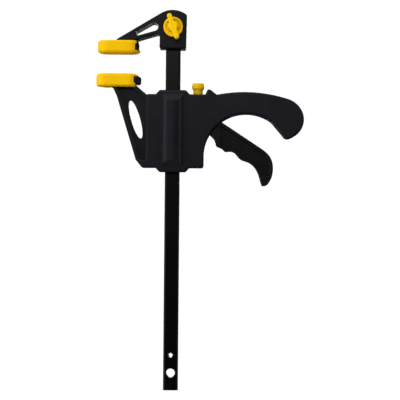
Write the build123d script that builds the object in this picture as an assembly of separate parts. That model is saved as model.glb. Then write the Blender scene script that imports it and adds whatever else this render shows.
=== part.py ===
# Quick release bar clamp: a flat bar with a fixed jaw screwed to its top end, and a
# two-shell handle with the moving jaw, a squeeze trigger and a release button that
# slides along the bar.
#
# Frame, in millimetres: X points from the jaws to the grip, Y points away from the
# face that carries the wing knob, Z runs up along the bar. The origin is the centre
# of the hanging hole at the bar's bottom end. Heights of the fixed jaw are counted
# from its screw, and heights of the handle from the bottom face of its block.

from build123d import *
import math
import os

# ---------------------------------------------------------------- driving dimensions

# Bar
BAR_LENGTH = 300.0
BAR_WIDTH = 12.0
BAR_THICKNESS = 5.0
BAR_EDGE_RADIUS = 1.8
HANG_HOLE_DIAMETER = 7.0
HANG_HOLE_TO_END = 14.0
STOP_PIN_TO_HANG_HOLE = 14.4
JAW_SCREW_TO_END = 9.2

# Stop pin, a rolled spring pin with a slit
STOP_PIN_DIAMETER = 5.0
STOP_PIN_BORE = 3.4
STOP_PIN_PROUD = 2.0
STOP_PIN_SLIT = 0.8

# Clearances
BAR_CLEARANCE = 0.15
PIN_CLEARANCE = 0.05
SOFT_CLEARANCE = 0.15
WORKING_GAP = 0.3
PLATE_GAP = 0.1

# Fixed jaw
HEAD_WIDTH = 21.3
HEAD_BELOW_SCREW = 16.8
HEAD_ABOVE_SCREW = 14.05
HEAD_LEAN = 1.15
HEAD_CROWN_RADIUS = 18.3
HEAD_CROWN_SHIFT = 0.5
HEAD_DEPTH = 17.0
HEAD_CORNER_RADIUS = 1.2
HEAD_EDGE_RADIUS = 1.0
ARM_ROOT_RADIUS = 1.6
ARM_NECK_DEPTH = 10.0
ARM_OVER_PAD = 0.8
ARM_SLOPE = 30.9
ARM_ROOT_DROP = 4.6
ARM_HEEL_RISE = 2.3
ARM_HEEL_SETBACK = 0.9
ARM_WINDOW_RADIUS = 3.4
ARM_WINDOW_TIP_RADIUS = 1.7
ARM_WINDOW_TO_SCREW = 15.4
ARM_WINDOW_RISE = 0.45
ARM_WINDOW_LENGTH = 13.7
ARM_WINDOW_SLOPE = 23.0

# Jaw feet and their soft pads
FOOT_THICKNESS = 6.0
FOOT_DEPTH = 15.6
FOOT_EDGE_RADIUS = 1.4
PAD_LENGTH = 34.0
PAD_DEPTH = 20.0
PAD_HEIGHT = 10.4
PAD_SOLE = 2.6
PAD_WALL = 2.0
PAD_CORNER_RADIUS = 7.0
PAD_SOLE_EDGE = 2.2
PAD_LIP_EDGE = 1.2
PAD_LIP_THICKNESS = 2.2
PAD_LIP_STEP = 2.4
PAD_MOUTH_STEP = 3.8
PAD_SLOT_START = 5.0
MOVING_PAD_PAST_ARM = 10.8
MOVING_PAD_SETBACK = 1.0
FIXED_FOOT_TO_PAD = 0.8
MOVING_FOOT_PROUD = 2.0
FIXED_PAD_BELOW_SCREW = 20.9
JAW_OPENING = 15.7

# Knob, its screw, washer and nut
SCREW_DIAMETER = 5.0
SCREW_HOLE_DIAMETER = 5.6
SCREW_IN_KNOB = 4.0
KNOB_DIAMETER = 15.4
KNOB_THICKNESS = 4.6
KNOB_RIM = 1.5
KNOB_DISH_DEPTH = 1.6
KNOB_RECESS_DIAMETER = 17.4
KNOB_RECESS_DEPTH = 0.8
KNOB_WING_LENGTH = 21.0
KNOB_WING_WIDTH = 4.0
KNOB_WING_HUB = 7.4
KNOB_WING_THROAT = 1.5
KNOB_WING_RISE = 4.4
KNOB_WING_EDGE = 1.0
KNOB_WING_ANGLE = 109.6
KNOB_DIMPLE_DIAMETER = 1.4
KNOB_DIMPLE_DEPTH = 0.6
KNOB_DIMPLE_TO_AXIS = 4.7
KNOB_DIMPLE_TURN = 55.0
KNOB_POINTER_REACH = 8.4
KNOB_POINTER_WIDTH = 2.4
KNOB_POINTER_DEPTH = 1.8
KNOB_POINTER_ANGLE = 252.0
WASHER_DIAMETER = 10.0
NUT_ACROSS_FLATS = 8.0
NUT_THICKNESS = 4.0

# Handle block around the bar
BLOCK_HEIGHT = 59.0
BLOCK_LEFT = 21.3
SHELL_DEPTH = 8.5
SHELL_WALL = 2.2
SHELL_EDGE_RADIUS = 1.6
SHELL_CORNER_RADIUS = 2.0
SHELL_HOLLOW_RADIUS = 1.0
SHELL_SEAM = 0.3
COLLAR_HALF_WIDTH = 10.5
COLLAR_HEIGHT = 3.3
COLLAR_SKIRT = 3.0
BULGE_WIDTH = 16.6
BULGE_RISE = 4.5
BULGE_END = 1.2
BULGE_SLANT = 5.1

# Moving jaw arm
MOVING_ARM_ABOVE_BLOCK = 7.85
MOVING_ARM_FLANGE = 3.0
MOVING_ARM_DEPTH = 10.0
MOVING_ARM_WEB = 4.0
MOVING_ARM_LEAN = 16.94
MOVING_ARM_REACH = 50.8
MOVING_ARM_THROAT = (3.2, 3.9)
MOVING_ARM_KNEE = (5.8, 9.3)
MOVING_ARM_SHOULDER = 9.3
MOVING_ARM_HEEL = (5.2, 6.5)
MOVING_WINDOW_TO_BLOCK = 8.5
MOVING_WINDOW_BELOW_TOP = 28.05
MOVING_WINDOW_LENGTH = 31.6
MOVING_WINDOW_WIDTH = 7.2
MOVING_WINDOW_TILT = 16.3

# Grip
GRIP_CROWN_X = 58.0
GRIP_CROWN_RISE = 2.2
GRIP_CROWN_RADIUS = 114.0
GRIP_BOW_X = 59.4
GRIP_BOW_RADIUS = 34.2
GRIP_BOW_SPAN = 19.8
GRIP_THICKNESS = 17.5
GRIP_END = 104.8
GRIP_DROP = 37.0
GRIP_BROW_SETBACK = 12.4
GRIP_CHEEK_SETBACK = 1.7
GRIP_CHEEK_RISE = 23.0
GRIP_JOWL_RISE = 7.6
GRIP_NOSE_SETBACK = 10.9
GRIP_CHIN_SETBACK = 16.3
GRIP_CHIN_RISE = 2.4
THUMB_HUMP_X = 28.4
THUMB_HUMP_RISE = 5.2
THUMB_HUMP_FRONT = 2.3
THUMB_HUMP_BACK = 6.8
GRIP_RIB = 1.6
GRIP_RIB_FIRST = 78.0
GRIP_RIB_PITCH = 7.0
GRIP_RIB_COUNT = 2

# Trigger, its pivot and its travel
PIVOT_X = 22.5
PIVOT_BELOW_LEDGE = 10.0
PIVOT_PIN_DIAMETER = 5.0
PIVOT_BOSS_RADIUS = 4.5
TRIGGER_DEPTH = 12.0
TRIGGER_HUB_DEPTH = 9.0
TRIGGER_HUB_RADIUS = 5.5
TRIGGER_WEB = 6.0
TRIGGER_RIM = 1.0
TRIGGER_BACK_RIM = 2.3
TRIGGER_EDGE_RADIUS = 0.7
TRIGGER_STEP = 0.5
TRIGGER_STEP_RADIUS = 13.9
TRIGGER_SLOPE = 33.2
TRIGGER_BACK_OFFSET = 9.2
TRIGGER_TRAVEL = 19.0
TRIGGER_CLEARANCE = 0.6
TRIGGER_SLOT_ANGLE = 30.8

# The blade's corners as distances along its straight back edge from the pivot's foot
# on that edge, and depths under the edge.
BACK_START = (7.2, 0.0)
BACK_END = (49.5, 0.0)
HOOK_POINTS = ((61.5, 1.5), (67.5, 6.1), (71.2, 12.4))
HOOK_CENTRE = (52.0, 20.0)
TOE_OUTER = (72.5, 20.4)
TOE_INNER = (69.4, 24.6)
TOE_SIDE = (65.8, 21.7)
FINGER_WAVES = (
    (58.6, 16.4),
    (50.0, 14.9),
    (42.8, 16.3),
    (36.8, 14.8),
    (33.0, 15.6),
    (29.4, 18.0),
    (26.4, 17.6),
    (21.2, 18.1),
    (18.1, 15.8),
)
WAVES_END = (15.0, 14.3)
NECK_CORNER = (4.5, 12.4)
RECESS_START = 14.2
RECESS_LOW_START = 23.2
RECESS_END_OUTER = (70.2, 15.4)
RECESS_END_INNER = (64.5, 19.2)
NOSE_REACH = 10.5
NOSE_RADIUS = 2.2

# Drive plates and drive spring
PLATE_THICKNESS = 2.5
PLATE_DEPTH = 12.0
PLATE_CORNER_RADIUS = 2.0
DRIVE_PLATE_LEFT = 9.5
DRIVE_PLATE_RIGHT = 16.0
DRIVE_PLATE_BELOW_PIVOT = 0.5
DRIVE_SPRING_WIRE = 1.2
DRIVE_SPRING_INNER = 13.4
DRIVE_SPRING_TURNS = 7

# Brake plate, brake spring and release button
LEDGE_BELOW_TOP = 12.0
LEDGE_THICKNESS = 2.0
LEDGE_RIGHT = 30.0
BRAKE_PIVOT_TO_BAR = 13.0
BRAKE_PLATE_LENGTH = 37.0
BRAKE_HOLE_CLEARANCE = 0.4
BRAKE_ANCHOR = 1.1
BUTTON_X = 20.2
BUTTON_HEAD_DIAMETER = 9.9
BUTTON_HEAD_HEIGHT = 5.8
BUTTON_BEVEL = 1.1
BUTTON_STEM_DIAMETER = 7.7
BUTTON_FLANGE_DIAMETER = 10.0
BUTTON_FLANGE_THICKNESS = 1.2
BUTTON_NUB_DIAMETER = 4.0
BUTTON_HOLE_CLEARANCE = 0.2
BUTTON_TRAVEL = 3.0
BRAKE_SPRING_WIRE = 0.7
BRAKE_SPRING_INNER = 3.8
BRAKE_SPRING_TURNS = 4
SPRING_CUP_DEPTH = 3.0
SPRING_CUP_WALL = 1.0

# Shell screws, driven from the rear
SHELL_SCREW_DIAMETER = 3.0
SHELL_SCREW_HEAD = 5.4
SHELL_SCREW_HEAD_HEIGHT = 2.0
SHELL_SCREW_SUNK = 0.5
SHELL_SCREW_REACH = 5.0
SHELL_SCREW_SLOT = 0.8
SHELL_SCREW_CROSS = 3.2
SHELL_BOSS_RADIUS = 3.4
SHELL_BOSS_INSET = 5.8

# ------------------------------------------------------------------- derived places

BAR_HALF_WIDTH = BAR_WIDTH / 2
BAR_HALF_THICKNESS = BAR_THICKNESS / 2
BAR_TOP = BAR_LENGTH - HANG_HOLE_TO_END
SCREW_Z = BAR_TOP - JAW_SCREW_TO_END

HEAD_HALF_DEPTH = HEAD_DEPTH / 2
HEAD_HALF_WIDTH = HEAD_WIDTH / 2
HEAD_CROWN_Z = HEAD_ABOVE_SCREW - HEAD_CROWN_RADIUS
ARM_NECK_HALF_DEPTH = ARM_NECK_DEPTH / 2
FOOT_SEAT = PAD_SOLE + SOFT_CLEARANCE
FIXED_PAD_FACE = SCREW_Z - FIXED_PAD_BELOW_SCREW
MOVING_PAD_FACE = FIXED_PAD_FACE - JAW_OPENING
PAD_TO_BAR = MOVING_ARM_REACH + MOVING_PAD_PAST_ARM - PAD_LENGTH - MOVING_PAD_SETBACK
FIXED_PAD_RIGHT = -PAD_TO_BAR
MOVING_PAD_RIGHT = -PAD_TO_BAR - MOVING_PAD_SETBACK

KNOB_SEAT = HEAD_HALF_DEPTH + PLATE_GAP
KNOB_FACE = KNOB_SEAT + KNOB_THICKNESS
NUT_FLOOR = HEAD_HALF_DEPTH - NUT_THICKNESS - 2 * PLATE_GAP

MOVING_ARM_RISE = BLOCK_HEIGHT + MOVING_ARM_ABOVE_BLOCK
HANDLE_Z = MOVING_PAD_FACE - FOOT_SEAT - FOOT_THICKNESS - MOVING_ARM_RISE
MOVING_WINDOW_Z = MOVING_ARM_RISE - MOVING_WINDOW_BELOW_TOP
INNER_DEPTH = SHELL_DEPTH - SHELL_WALL
BLOCK_RIGHT = GRIP_BOW_X - GRIP_BOW_RADIUS
GRIP_CROWN_Z = BLOCK_HEIGHT + GRIP_CROWN_RISE
GRIP_BOW_Z = GRIP_CROWN_Z - GRIP_THICKNESS - GRIP_BOW_RADIUS
GRIP_NOSE_BOTTOM = GRIP_CROWN_Z - GRIP_DROP

LEDGE_TOP = BLOCK_HEIGHT - LEDGE_BELOW_TOP
PIVOT_Z = LEDGE_TOP - PIVOT_BELOW_LEDGE
DRIVE_PLATE_TOP = PIVOT_Z - DRIVE_PLATE_BELOW_PIVOT
SPRING_BORE_RADIUS = DRIVE_SPRING_INNER / 2 + DRIVE_SPRING_WIRE + WORKING_GAP
DRIVE_PLATES_LOW = DRIVE_PLATE_TOP - 2 * PLATE_THICKNESS - PLATE_GAP
NOSE_Z = DRIVE_PLATE_TOP + WORKING_GAP / 2 + NOSE_RADIUS

CEILING = BLOCK_HEIGHT - SHELL_WALL
BUTTON_HEAD_LOW = BLOCK_HEIGHT + BUTTON_TRAVEL + WORKING_GAP
BUTTON_TOP = BUTTON_HEAD_LOW + BUTTON_HEAD_HEIGHT
BUTTON_FLANGE_TOP = CEILING - WORKING_GAP
BUTTON_FLANGE_LOW = BUTTON_FLANGE_TOP - BUTTON_FLANGE_THICKNESS
BUTTON_NUB_LOW = BUTTON_FLANGE_LOW - WORKING_GAP
BRAKE_RISE = BUTTON_TRAVEL + PLATE_GAP
BRAKE_TILT = math.degrees(math.asin(BRAKE_RISE / (BUTTON_X + BRAKE_PIVOT_TO_BAR)))
BRAKE_PIVOT_Z = BUTTON_NUB_LOW - WORKING_GAP - PLATE_THICKNESS / 2 - BRAKE_RISE
BRAKE_SPRING_SEAT = LEDGE_TOP - SPRING_CUP_DEPTH
BRAKE_SPRING_TOP = BRAKE_PIVOT_Z + BRAKE_RISE - PLATE_THICKNESS / 2 - WORKING_GAP
SPRING_CUP_RADIUS = BRAKE_SPRING_INNER / 2 + BRAKE_SPRING_WIRE + WORKING_GAP

# Bosses of the shell screws: two left of the bar, one in the block's lower right
# corner, one behind the thumb hump and two along the grip.
SHELL_SCREW_PLACES = (
    (-BLOCK_LEFT + SHELL_BOSS_INSET, SHELL_BOSS_INSET + SHELL_WALL),
    (-BLOCK_LEFT + SHELL_BOSS_INSET, DRIVE_PLATE_TOP),
    (BLOCK_RIGHT - SHELL_BOSS_INSET, SHELL_BOSS_INSET + SHELL_WALL),
    (THUMB_HUMP_X + SHELL_BOSS_INSET - SHELL_WALL, CEILING - SHELL_BOSS_RADIUS - SHELL_WALL / 2),
    (GRIP_BOW_X, (GRIP_CROWN_Z + GRIP_BOW_Z + GRIP_BOW_RADIUS) / 2),
    (GRIP_END - 2 * SHELL_BOSS_INSET, GRIP_NOSE_BOTTOM + 3 * SHELL_BOSS_INSET),
)


# ------------------------------------------------------------------------- helpers

def slab(sketch, front, back):
    """The sketch, drawn in X and Z, made solid between two depths along Y."""
    return extrude(Plane.XZ.offset(-back) * sketch, amount=back - front)


def rod(x, z, radius, front, back):
    """A round rod along Y, centred at x and z."""
    return slab(Pos(x, z) * Circle(radius), front, back)


def post(x, low, high, radius):
    """A round post along Z between two heights, on the plane Y = 0."""
    return Pos(x, 0, low) * extrude(Circle(radius), amount=high - low)


def block(low, high):
    """A box from its lowest corner to its highest corner."""
    size = [b - a for a, b in zip(low, high)]
    return Pos(*low) * Box(*size, align=(Align.MIN, Align.MIN, Align.MIN))


def rectangle(left, low, right, high):
    """A rectangle from its lower left corner to its upper right corner."""
    return Pos((left + right) / 2, (low + high) / 2) * Rectangle(right - left, high - low)


def polygon(*points):
    """A closed face through the points."""
    return make_face(Polyline(*points, close=True).edges())


def hull_of_circles(*circles):
    """The face that a belt round the circles encloses, each given as x, z, radius."""
    rings = [Pos(x, z) * Circle(radius) for x, z, radius in circles]
    return make_hull([edge for ring in rings for edge in ring.edges()])


def round_corners(face, radius, *points):
    """The face with the corners nearest to the points rounded."""
    corners = [face.vertices().sort_by_distance(Vector(*point))[0] for point in points]
    return fillet(corners, radius)


def edges_at_depth(solid, depth):
    """The edges of a solid that lie in the plane Y = depth."""
    return solid.edges().filter_by_position(Axis.Y, depth - 0.001, depth + 0.001)


def bar_passage(low, high, clearance):
    """The space that the bar takes between two heights, with its clearance."""
    half_x = BAR_HALF_WIDTH + clearance
    half_y = BAR_HALF_THICKNESS + clearance
    return block((-half_x, -half_y, low), (half_x, half_y, high))


def coil(x, inner_diameter, wire, turns, low, high):
    """A coil spring of round wire, upright at x, between two heights."""
    radius = (inner_diameter + wire) / 2
    height = high - low - wire
    path = Helix(pitch=height / turns, height=height, radius=radius)
    section = Plane(path @ 0, z_dir=path % 0) * Circle(wire / 2)
    return Pos(x, 0, low + wire / 2) * sweep(section, path=path)


# ----------------------------------------------------------------------- bar pieces

def make_bar():
    """Flat bar with rounded long edges, a hanging hole, a pin hole and a jaw hole."""
    profile = RectangleRounded(BAR_WIDTH, BAR_THICKNESS, BAR_EDGE_RADIUS)
    bar = Pos(0, 0, -HANG_HOLE_TO_END) * extrude(profile, amount=BAR_LENGTH)
    half = BAR_HALF_THICKNESS
    bar -= rod(0, 0, HANG_HOLE_DIAMETER / 2, -half, half)
    bar -= rod(0, STOP_PIN_TO_HANG_HOLE, STOP_PIN_DIAMETER / 2 + PIN_CLEARANCE, -half, half)
    bar -= rod(0, SCREW_Z, SCREW_HOLE_DIAMETER / 2, -half, half)
    return bar


def make_stop_pin():
    """Rolled spring pin across the bar, open along one slit that faces up the bar."""
    half = BAR_HALF_THICKNESS + STOP_PIN_PROUD
    ring = Circle(STOP_PIN_DIAMETER / 2) - Circle(STOP_PIN_BORE / 2)
    ring -= Pos(0, STOP_PIN_DIAMETER / 2) * Rectangle(STOP_PIN_SLIT, STOP_PIN_DIAMETER)
    return slab(Pos(0, STOP_PIN_TO_HANG_HOLE) * ring, -half, half)


# --------------------------------------------------------------------- fixed jaw

def arm_window():
    """Teardrop: the belt round a large circle at the head and a small one at the tip."""
    away = math.radians(ARM_WINDOW_SLOPE)
    tip_x = -ARM_WINDOW_TO_SCREW - ARM_WINDOW_LENGTH * math.cos(away)
    tip_z = ARM_WINDOW_RISE - ARM_WINDOW_LENGTH * math.sin(away)
    return hull_of_circles(
        (-ARM_WINDOW_TO_SCREW, ARM_WINDOW_RISE, ARM_WINDOW_RADIUS),
        (tip_x, tip_z, ARM_WINDOW_TIP_RADIUS),
    )


def head_outline():
    """Head round the bar's end: leaning straight sides under a crown arc."""
    half = HEAD_HALF_WIDTH
    sides = Rot(0, 0, -HEAD_LEAN) * rectangle(-half, -HEAD_BELOW_SCREW, half, HEAD_CROWN_RADIUS)
    face = sides & Pos(-HEAD_CROWN_SHIFT, HEAD_CROWN_Z) * Circle(HEAD_CROWN_RADIUS)
    heel_z = -HEAD_BELOW_SCREW
    corners = (half, HEAD_ABOVE_SCREW), (half, heel_z), (-half, heel_z)
    return round_corners(face.face(), HEAD_CORNER_RADIUS, *corners)


def fixed_arm_outline():
    """Arm from the crown's tangent down to the foot and back to the head's side."""
    slope = math.radians(ARM_SLOPE)
    tangent_x = -HEAD_CROWN_SHIFT - HEAD_CROWN_RADIUS * math.sin(slope)
    tangent_z = HEAD_CROWN_Z + HEAD_CROWN_RADIUS * math.cos(slope)
    foot_top = FOOT_SEAT + FOOT_THICKNESS - FIXED_PAD_BELOW_SCREW
    root = foot_top - FOOT_EDGE_RADIUS
    foot_left = tangent_x - (tangent_z - root) / math.tan(slope)
    foot_right = FIXED_PAD_RIGHT - FIXED_FOOT_TO_PAD
    return polygon(
        (0, tangent_z),
        (tangent_x, tangent_z),
        (foot_left, root),
        (foot_right, root),
        (foot_right - ARM_HEEL_SETBACK, foot_top + ARM_HEEL_RISE),
        (-HEAD_HALF_WIDTH, -ARM_ROOT_DROP),
        (0, -ARM_ROOT_DROP),
    )


def make_foot(left, right, low):
    """Flat tongue for a pad, with rounded corners in plan and rounded edges."""
    plan = RectangleRounded(right - left, FOOT_DEPTH, PAD_CORNER_RADIUS - PAD_WALL)
    foot = extrude(plan, amount=FOOT_THICKNESS)
    levels = foot.edges().group_by(Axis.Z)
    foot = fillet(levels[0] + levels[-1], FOOT_EDGE_RADIUS)
    return Pos((left + right) / 2, 0, low) * foot


def foot_left_end(pad_right):
    """Where a foot ends behind the closed end of its pad."""
    return pad_right - PAD_LENGTH + PAD_WALL + SOFT_CLEARANCE


def jaw_outline():
    """Head and arm as one face, with a rounded corner between them."""
    face = (head_outline() + fixed_arm_outline()).face()
    return round_corners(face, ARM_ROOT_RADIUS, (-HEAD_HALF_WIDTH, -ARM_ROOT_DROP))


def pad_lip_room():
    """Room beside the arm's neck for the two lips of the pad."""
    left = FIXED_PAD_RIGHT - PAD_LENGTH
    right = FIXED_PAD_RIGHT - PAD_LIP_STEP + WORKING_GAP
    low = -FIXED_PAD_BELOW_SCREW
    lips = rectangle(left, low, right, low + PAD_HEIGHT + ARM_OVER_PAD)
    front = slab(lips, -HEAD_HALF_DEPTH, -ARM_NECK_HALF_DEPTH)
    return front + slab(lips, ARM_NECK_HALF_DEPTH, HEAD_HALF_DEPTH)


def make_fixed_jaw():
    """Head, arm with a teardrop window, and foot, as one moulding."""
    jaw = slab(jaw_outline(), -HEAD_HALF_DEPTH, HEAD_HALF_DEPTH)
    rims = edges_at_depth(jaw, -HEAD_HALF_DEPTH) + edges_at_depth(jaw, HEAD_HALF_DEPTH)
    jaw = fillet(rims, HEAD_EDGE_RADIUS)
    jaw -= slab(arm_window(), -HEAD_HALF_DEPTH, HEAD_HALF_DEPTH)
    jaw = Pos(0, 0, SCREW_Z) * (jaw - pad_lip_room())

    foot_right = FIXED_PAD_RIGHT - FIXED_FOOT_TO_PAD
    jaw += make_foot(foot_left_end(FIXED_PAD_RIGHT), foot_right, FIXED_PAD_FACE + FOOT_SEAT)

    jaw -= bar_passage(SCREW_Z - HEAD_BELOW_SCREW, BAR_TOP + BAR_CLEARANCE, BAR_CLEARANCE)
    jaw -= rod(0, SCREW_Z, SCREW_HOLE_DIAMETER / 2, -HEAD_HALF_DEPTH, HEAD_HALF_DEPTH)
    recess_floor = -HEAD_HALF_DEPTH + KNOB_RECESS_DEPTH
    jaw -= rod(0, SCREW_Z, KNOB_RECESS_DIAMETER / 2, -HEAD_HALF_DEPTH, recess_floor)
    flats = NUT_ACROSS_FLATS / 2 + PLATE_GAP
    hexagon = Pos(0, SCREW_Z) * RegularPolygon(flats, 6, major_radius=False)
    jaw -= slab(hexagon, NUT_FLOOR, HEAD_HALF_DEPTH)
    return jaw


def make_jaw_nut():
    """Hexagon nut in its pocket in the back of the head."""
    hexagon = Pos(0, SCREW_Z) * RegularPolygon(NUT_ACROSS_FLATS / 2, 6, major_radius=False)
    low = NUT_FLOOR + PLATE_GAP
    nut = slab(hexagon, low, low + NUT_THICKNESS)
    return nut - rod(0, SCREW_Z, SCREW_DIAMETER / 2 + PIN_CLEARANCE, low, low + NUT_THICKNESS)


def make_knob_washer():
    """Plain washer between the knob and the floor of its recess."""
    back = -HEAD_HALF_DEPTH + KNOB_RECESS_DEPTH
    washer = rod(0, SCREW_Z, WASHER_DIAMETER / 2, -KNOB_SEAT, back)
    return washer - rod(0, SCREW_Z, SCREW_DIAMETER / 2 + PIN_CLEARANCE, -KNOB_SEAT, back)


def make_knob_screw():
    """Screw that is moulded into the knob and ends flush with the nut."""
    end = NUT_FLOOR + NUT_THICKNESS + PLATE_GAP
    return rod(0, SCREW_Z, SCREW_DIAMETER / 2, -KNOB_SEAT - SCREW_IN_KNOB, end)


def wing_outline():
    """Wing: a straight bar with round ends through a wider round hub."""
    hub = KNOB_WING_HUB / 2
    face = (SlotOverall(KNOB_WING_LENGTH, KNOB_WING_WIDTH) + Circle(hub)).face()
    throats = [(x, z) for x in (-hub, hub) for z in (-hub, hub)]
    face = round_corners(face, KNOB_WING_THROAT, *throats)
    return Pos(0, SCREW_Z) * Rot(0, 0, KNOB_WING_ANGLE) * face


def make_wing_knob():
    """Dished disc with a pointer on its rim, two dimples and a wing across it."""
    dish_floor = -KNOB_FACE + KNOB_DISH_DEPTH
    disc = rod(0, SCREW_Z, KNOB_DIAMETER / 2, -KNOB_FACE, -KNOB_SEAT)
    disc = fillet(edges_at_depth(disc, -KNOB_FACE), KNOB_RIM / 3)
    half = KNOB_POINTER_WIDTH / 2
    rim = KNOB_DIAMETER / 2 - KNOB_RIM
    pointer = polygon((rim, half), (KNOB_POINTER_REACH, 0), (rim, -half))
    pointer = Pos(0, SCREW_Z) * Rot(0, 0, KNOB_POINTER_ANGLE) * pointer
    disc += slab(pointer, -KNOB_SEAT - KNOB_POINTER_DEPTH, -KNOB_SEAT)
    disc -= rod(0, SCREW_Z, rim, -KNOB_FACE, dish_floor)
    for turn in (-KNOB_DIMPLE_TURN, KNOB_DIMPLE_TURN):
        dimple = Pos(0, SCREW_Z) * Rot(0, 0, KNOB_WING_ANGLE + 180 + turn)
        dimple *= Pos(KNOB_DIMPLE_TO_AXIS, 0) * Circle(KNOB_DIMPLE_DIAMETER / 2)
        disc -= slab(dimple, dish_floor, dish_floor + KNOB_DIMPLE_DEPTH)
    wing_top = -KNOB_FACE - KNOB_WING_RISE
    wing = slab(wing_outline(), wing_top, dish_floor)
    wing = fillet(edges_at_depth(wing, wing_top), KNOB_WING_EDGE)
    socket_floor = -KNOB_SEAT - SCREW_IN_KNOB - PLATE_GAP
    socket = rod(0, SCREW_Z, SCREW_DIAMETER / 2 + PIN_CLEARANCE, socket_floor, -KNOB_SEAT)
    return disc + wing - socket


# ---------------------------------------------------------------------- soft pads

def make_pad():
    """Slipper pad with its sole down at Z = 0 and its open end at X = 0.

    A tongue slides into it from the open end. The side walls stop short of the sole
    there, under lips that reach a little further. The two lips over the tongue leave
    a slot for the jaw's arm.
    """
    plan = RectangleRounded(PAD_LENGTH, PAD_DEPTH, PAD_CORNER_RADIUS)
    pad = Pos(-PAD_LENGTH / 2, 0) * extrude(plan, amount=PAD_HEIGHT)
    pad = fillet(pad.edges().group_by(Axis.Z)[0], PAD_SOLE_EDGE)
    pad = fillet(pad.edges().group_by(Axis.Z)[-1], PAD_LIP_EDGE)

    past_end = PAD_CORNER_RADIUS
    tunnel_length = PAD_LENGTH - PAD_WALL + past_end
    tunnel_depth = FOOT_DEPTH + 2 * SOFT_CLEARANCE
    tunnel_radius = PAD_CORNER_RADIUS - PAD_WALL + SOFT_CLEARANCE
    tunnel = extrude(
        RectangleRounded(tunnel_length, tunnel_depth, tunnel_radius),
        amount=FOOT_THICKNESS + 2 * SOFT_CLEARANCE,
    )
    pad -= Pos(past_end - tunnel_length / 2, 0, PAD_SOLE) * tunnel

    slot_width = ARM_NECK_DEPTH + 2 * WORKING_GAP
    slot_length = PAD_LENGTH - PAD_SLOT_START + past_end
    slot = extrude(SlotOverall(slot_length, slot_width), amount=PAD_HEIGHT - PAD_SOLE)
    pad -= Pos(past_end - slot_length / 2, 0, PAD_SOLE) * slot

    mouth = rectangle(-PAD_MOUTH_STEP, PAD_SOLE, 0, PAD_HEIGHT - PAD_LIP_THICKNESS)
    mouth += rectangle(-PAD_LIP_STEP, PAD_SOLE, 0, PAD_HEIGHT)
    return pad - slab(mouth, -PAD_DEPTH / 2, PAD_DEPTH / 2)


def make_fixed_jaw_pad():
    """Pad on the fixed jaw, sole down."""
    return Pos(FIXED_PAD_RIGHT, 0, FIXED_PAD_FACE) * make_pad()


def make_moving_jaw_pad():
    """The same pad on the moving jaw, sole up."""
    return Pos(MOVING_PAD_RIGHT, 0, MOVING_PAD_FACE) * mirror(make_pad(), about=Plane.XY)


# ------------------------------------------------------------------ handle outlines

def crown_point(x):
    """A point on the grip's long top arc."""
    centre_z = GRIP_CROWN_Z - GRIP_CROWN_RADIUS
    return x, centre_z + math.sqrt(GRIP_CROWN_RADIUS**2 - (x - GRIP_CROWN_X) ** 2)


def bow_point(x):
    """A point on the round arc under the grip."""
    return x, GRIP_BOW_Z + math.sqrt(GRIP_BOW_RADIUS**2 - (x - GRIP_BOW_X) ** 2)


def from_arm_corner(offset_from_corner):
    """A point right of and under the moving arm's top left corner."""
    right, down = offset_from_corner
    return right - MOVING_ARM_REACH, MOVING_ARM_RISE - down


def arm_heel():
    """Where the arm's straight left edge ends above its heel."""
    knee_x, knee_z = from_arm_corner(MOVING_ARM_KNEE)
    heel_z = MOVING_ARM_HEEL[1]
    return knee_x + (knee_z - heel_z) * math.tan(math.radians(MOVING_ARM_LEAN)), heel_z


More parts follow.
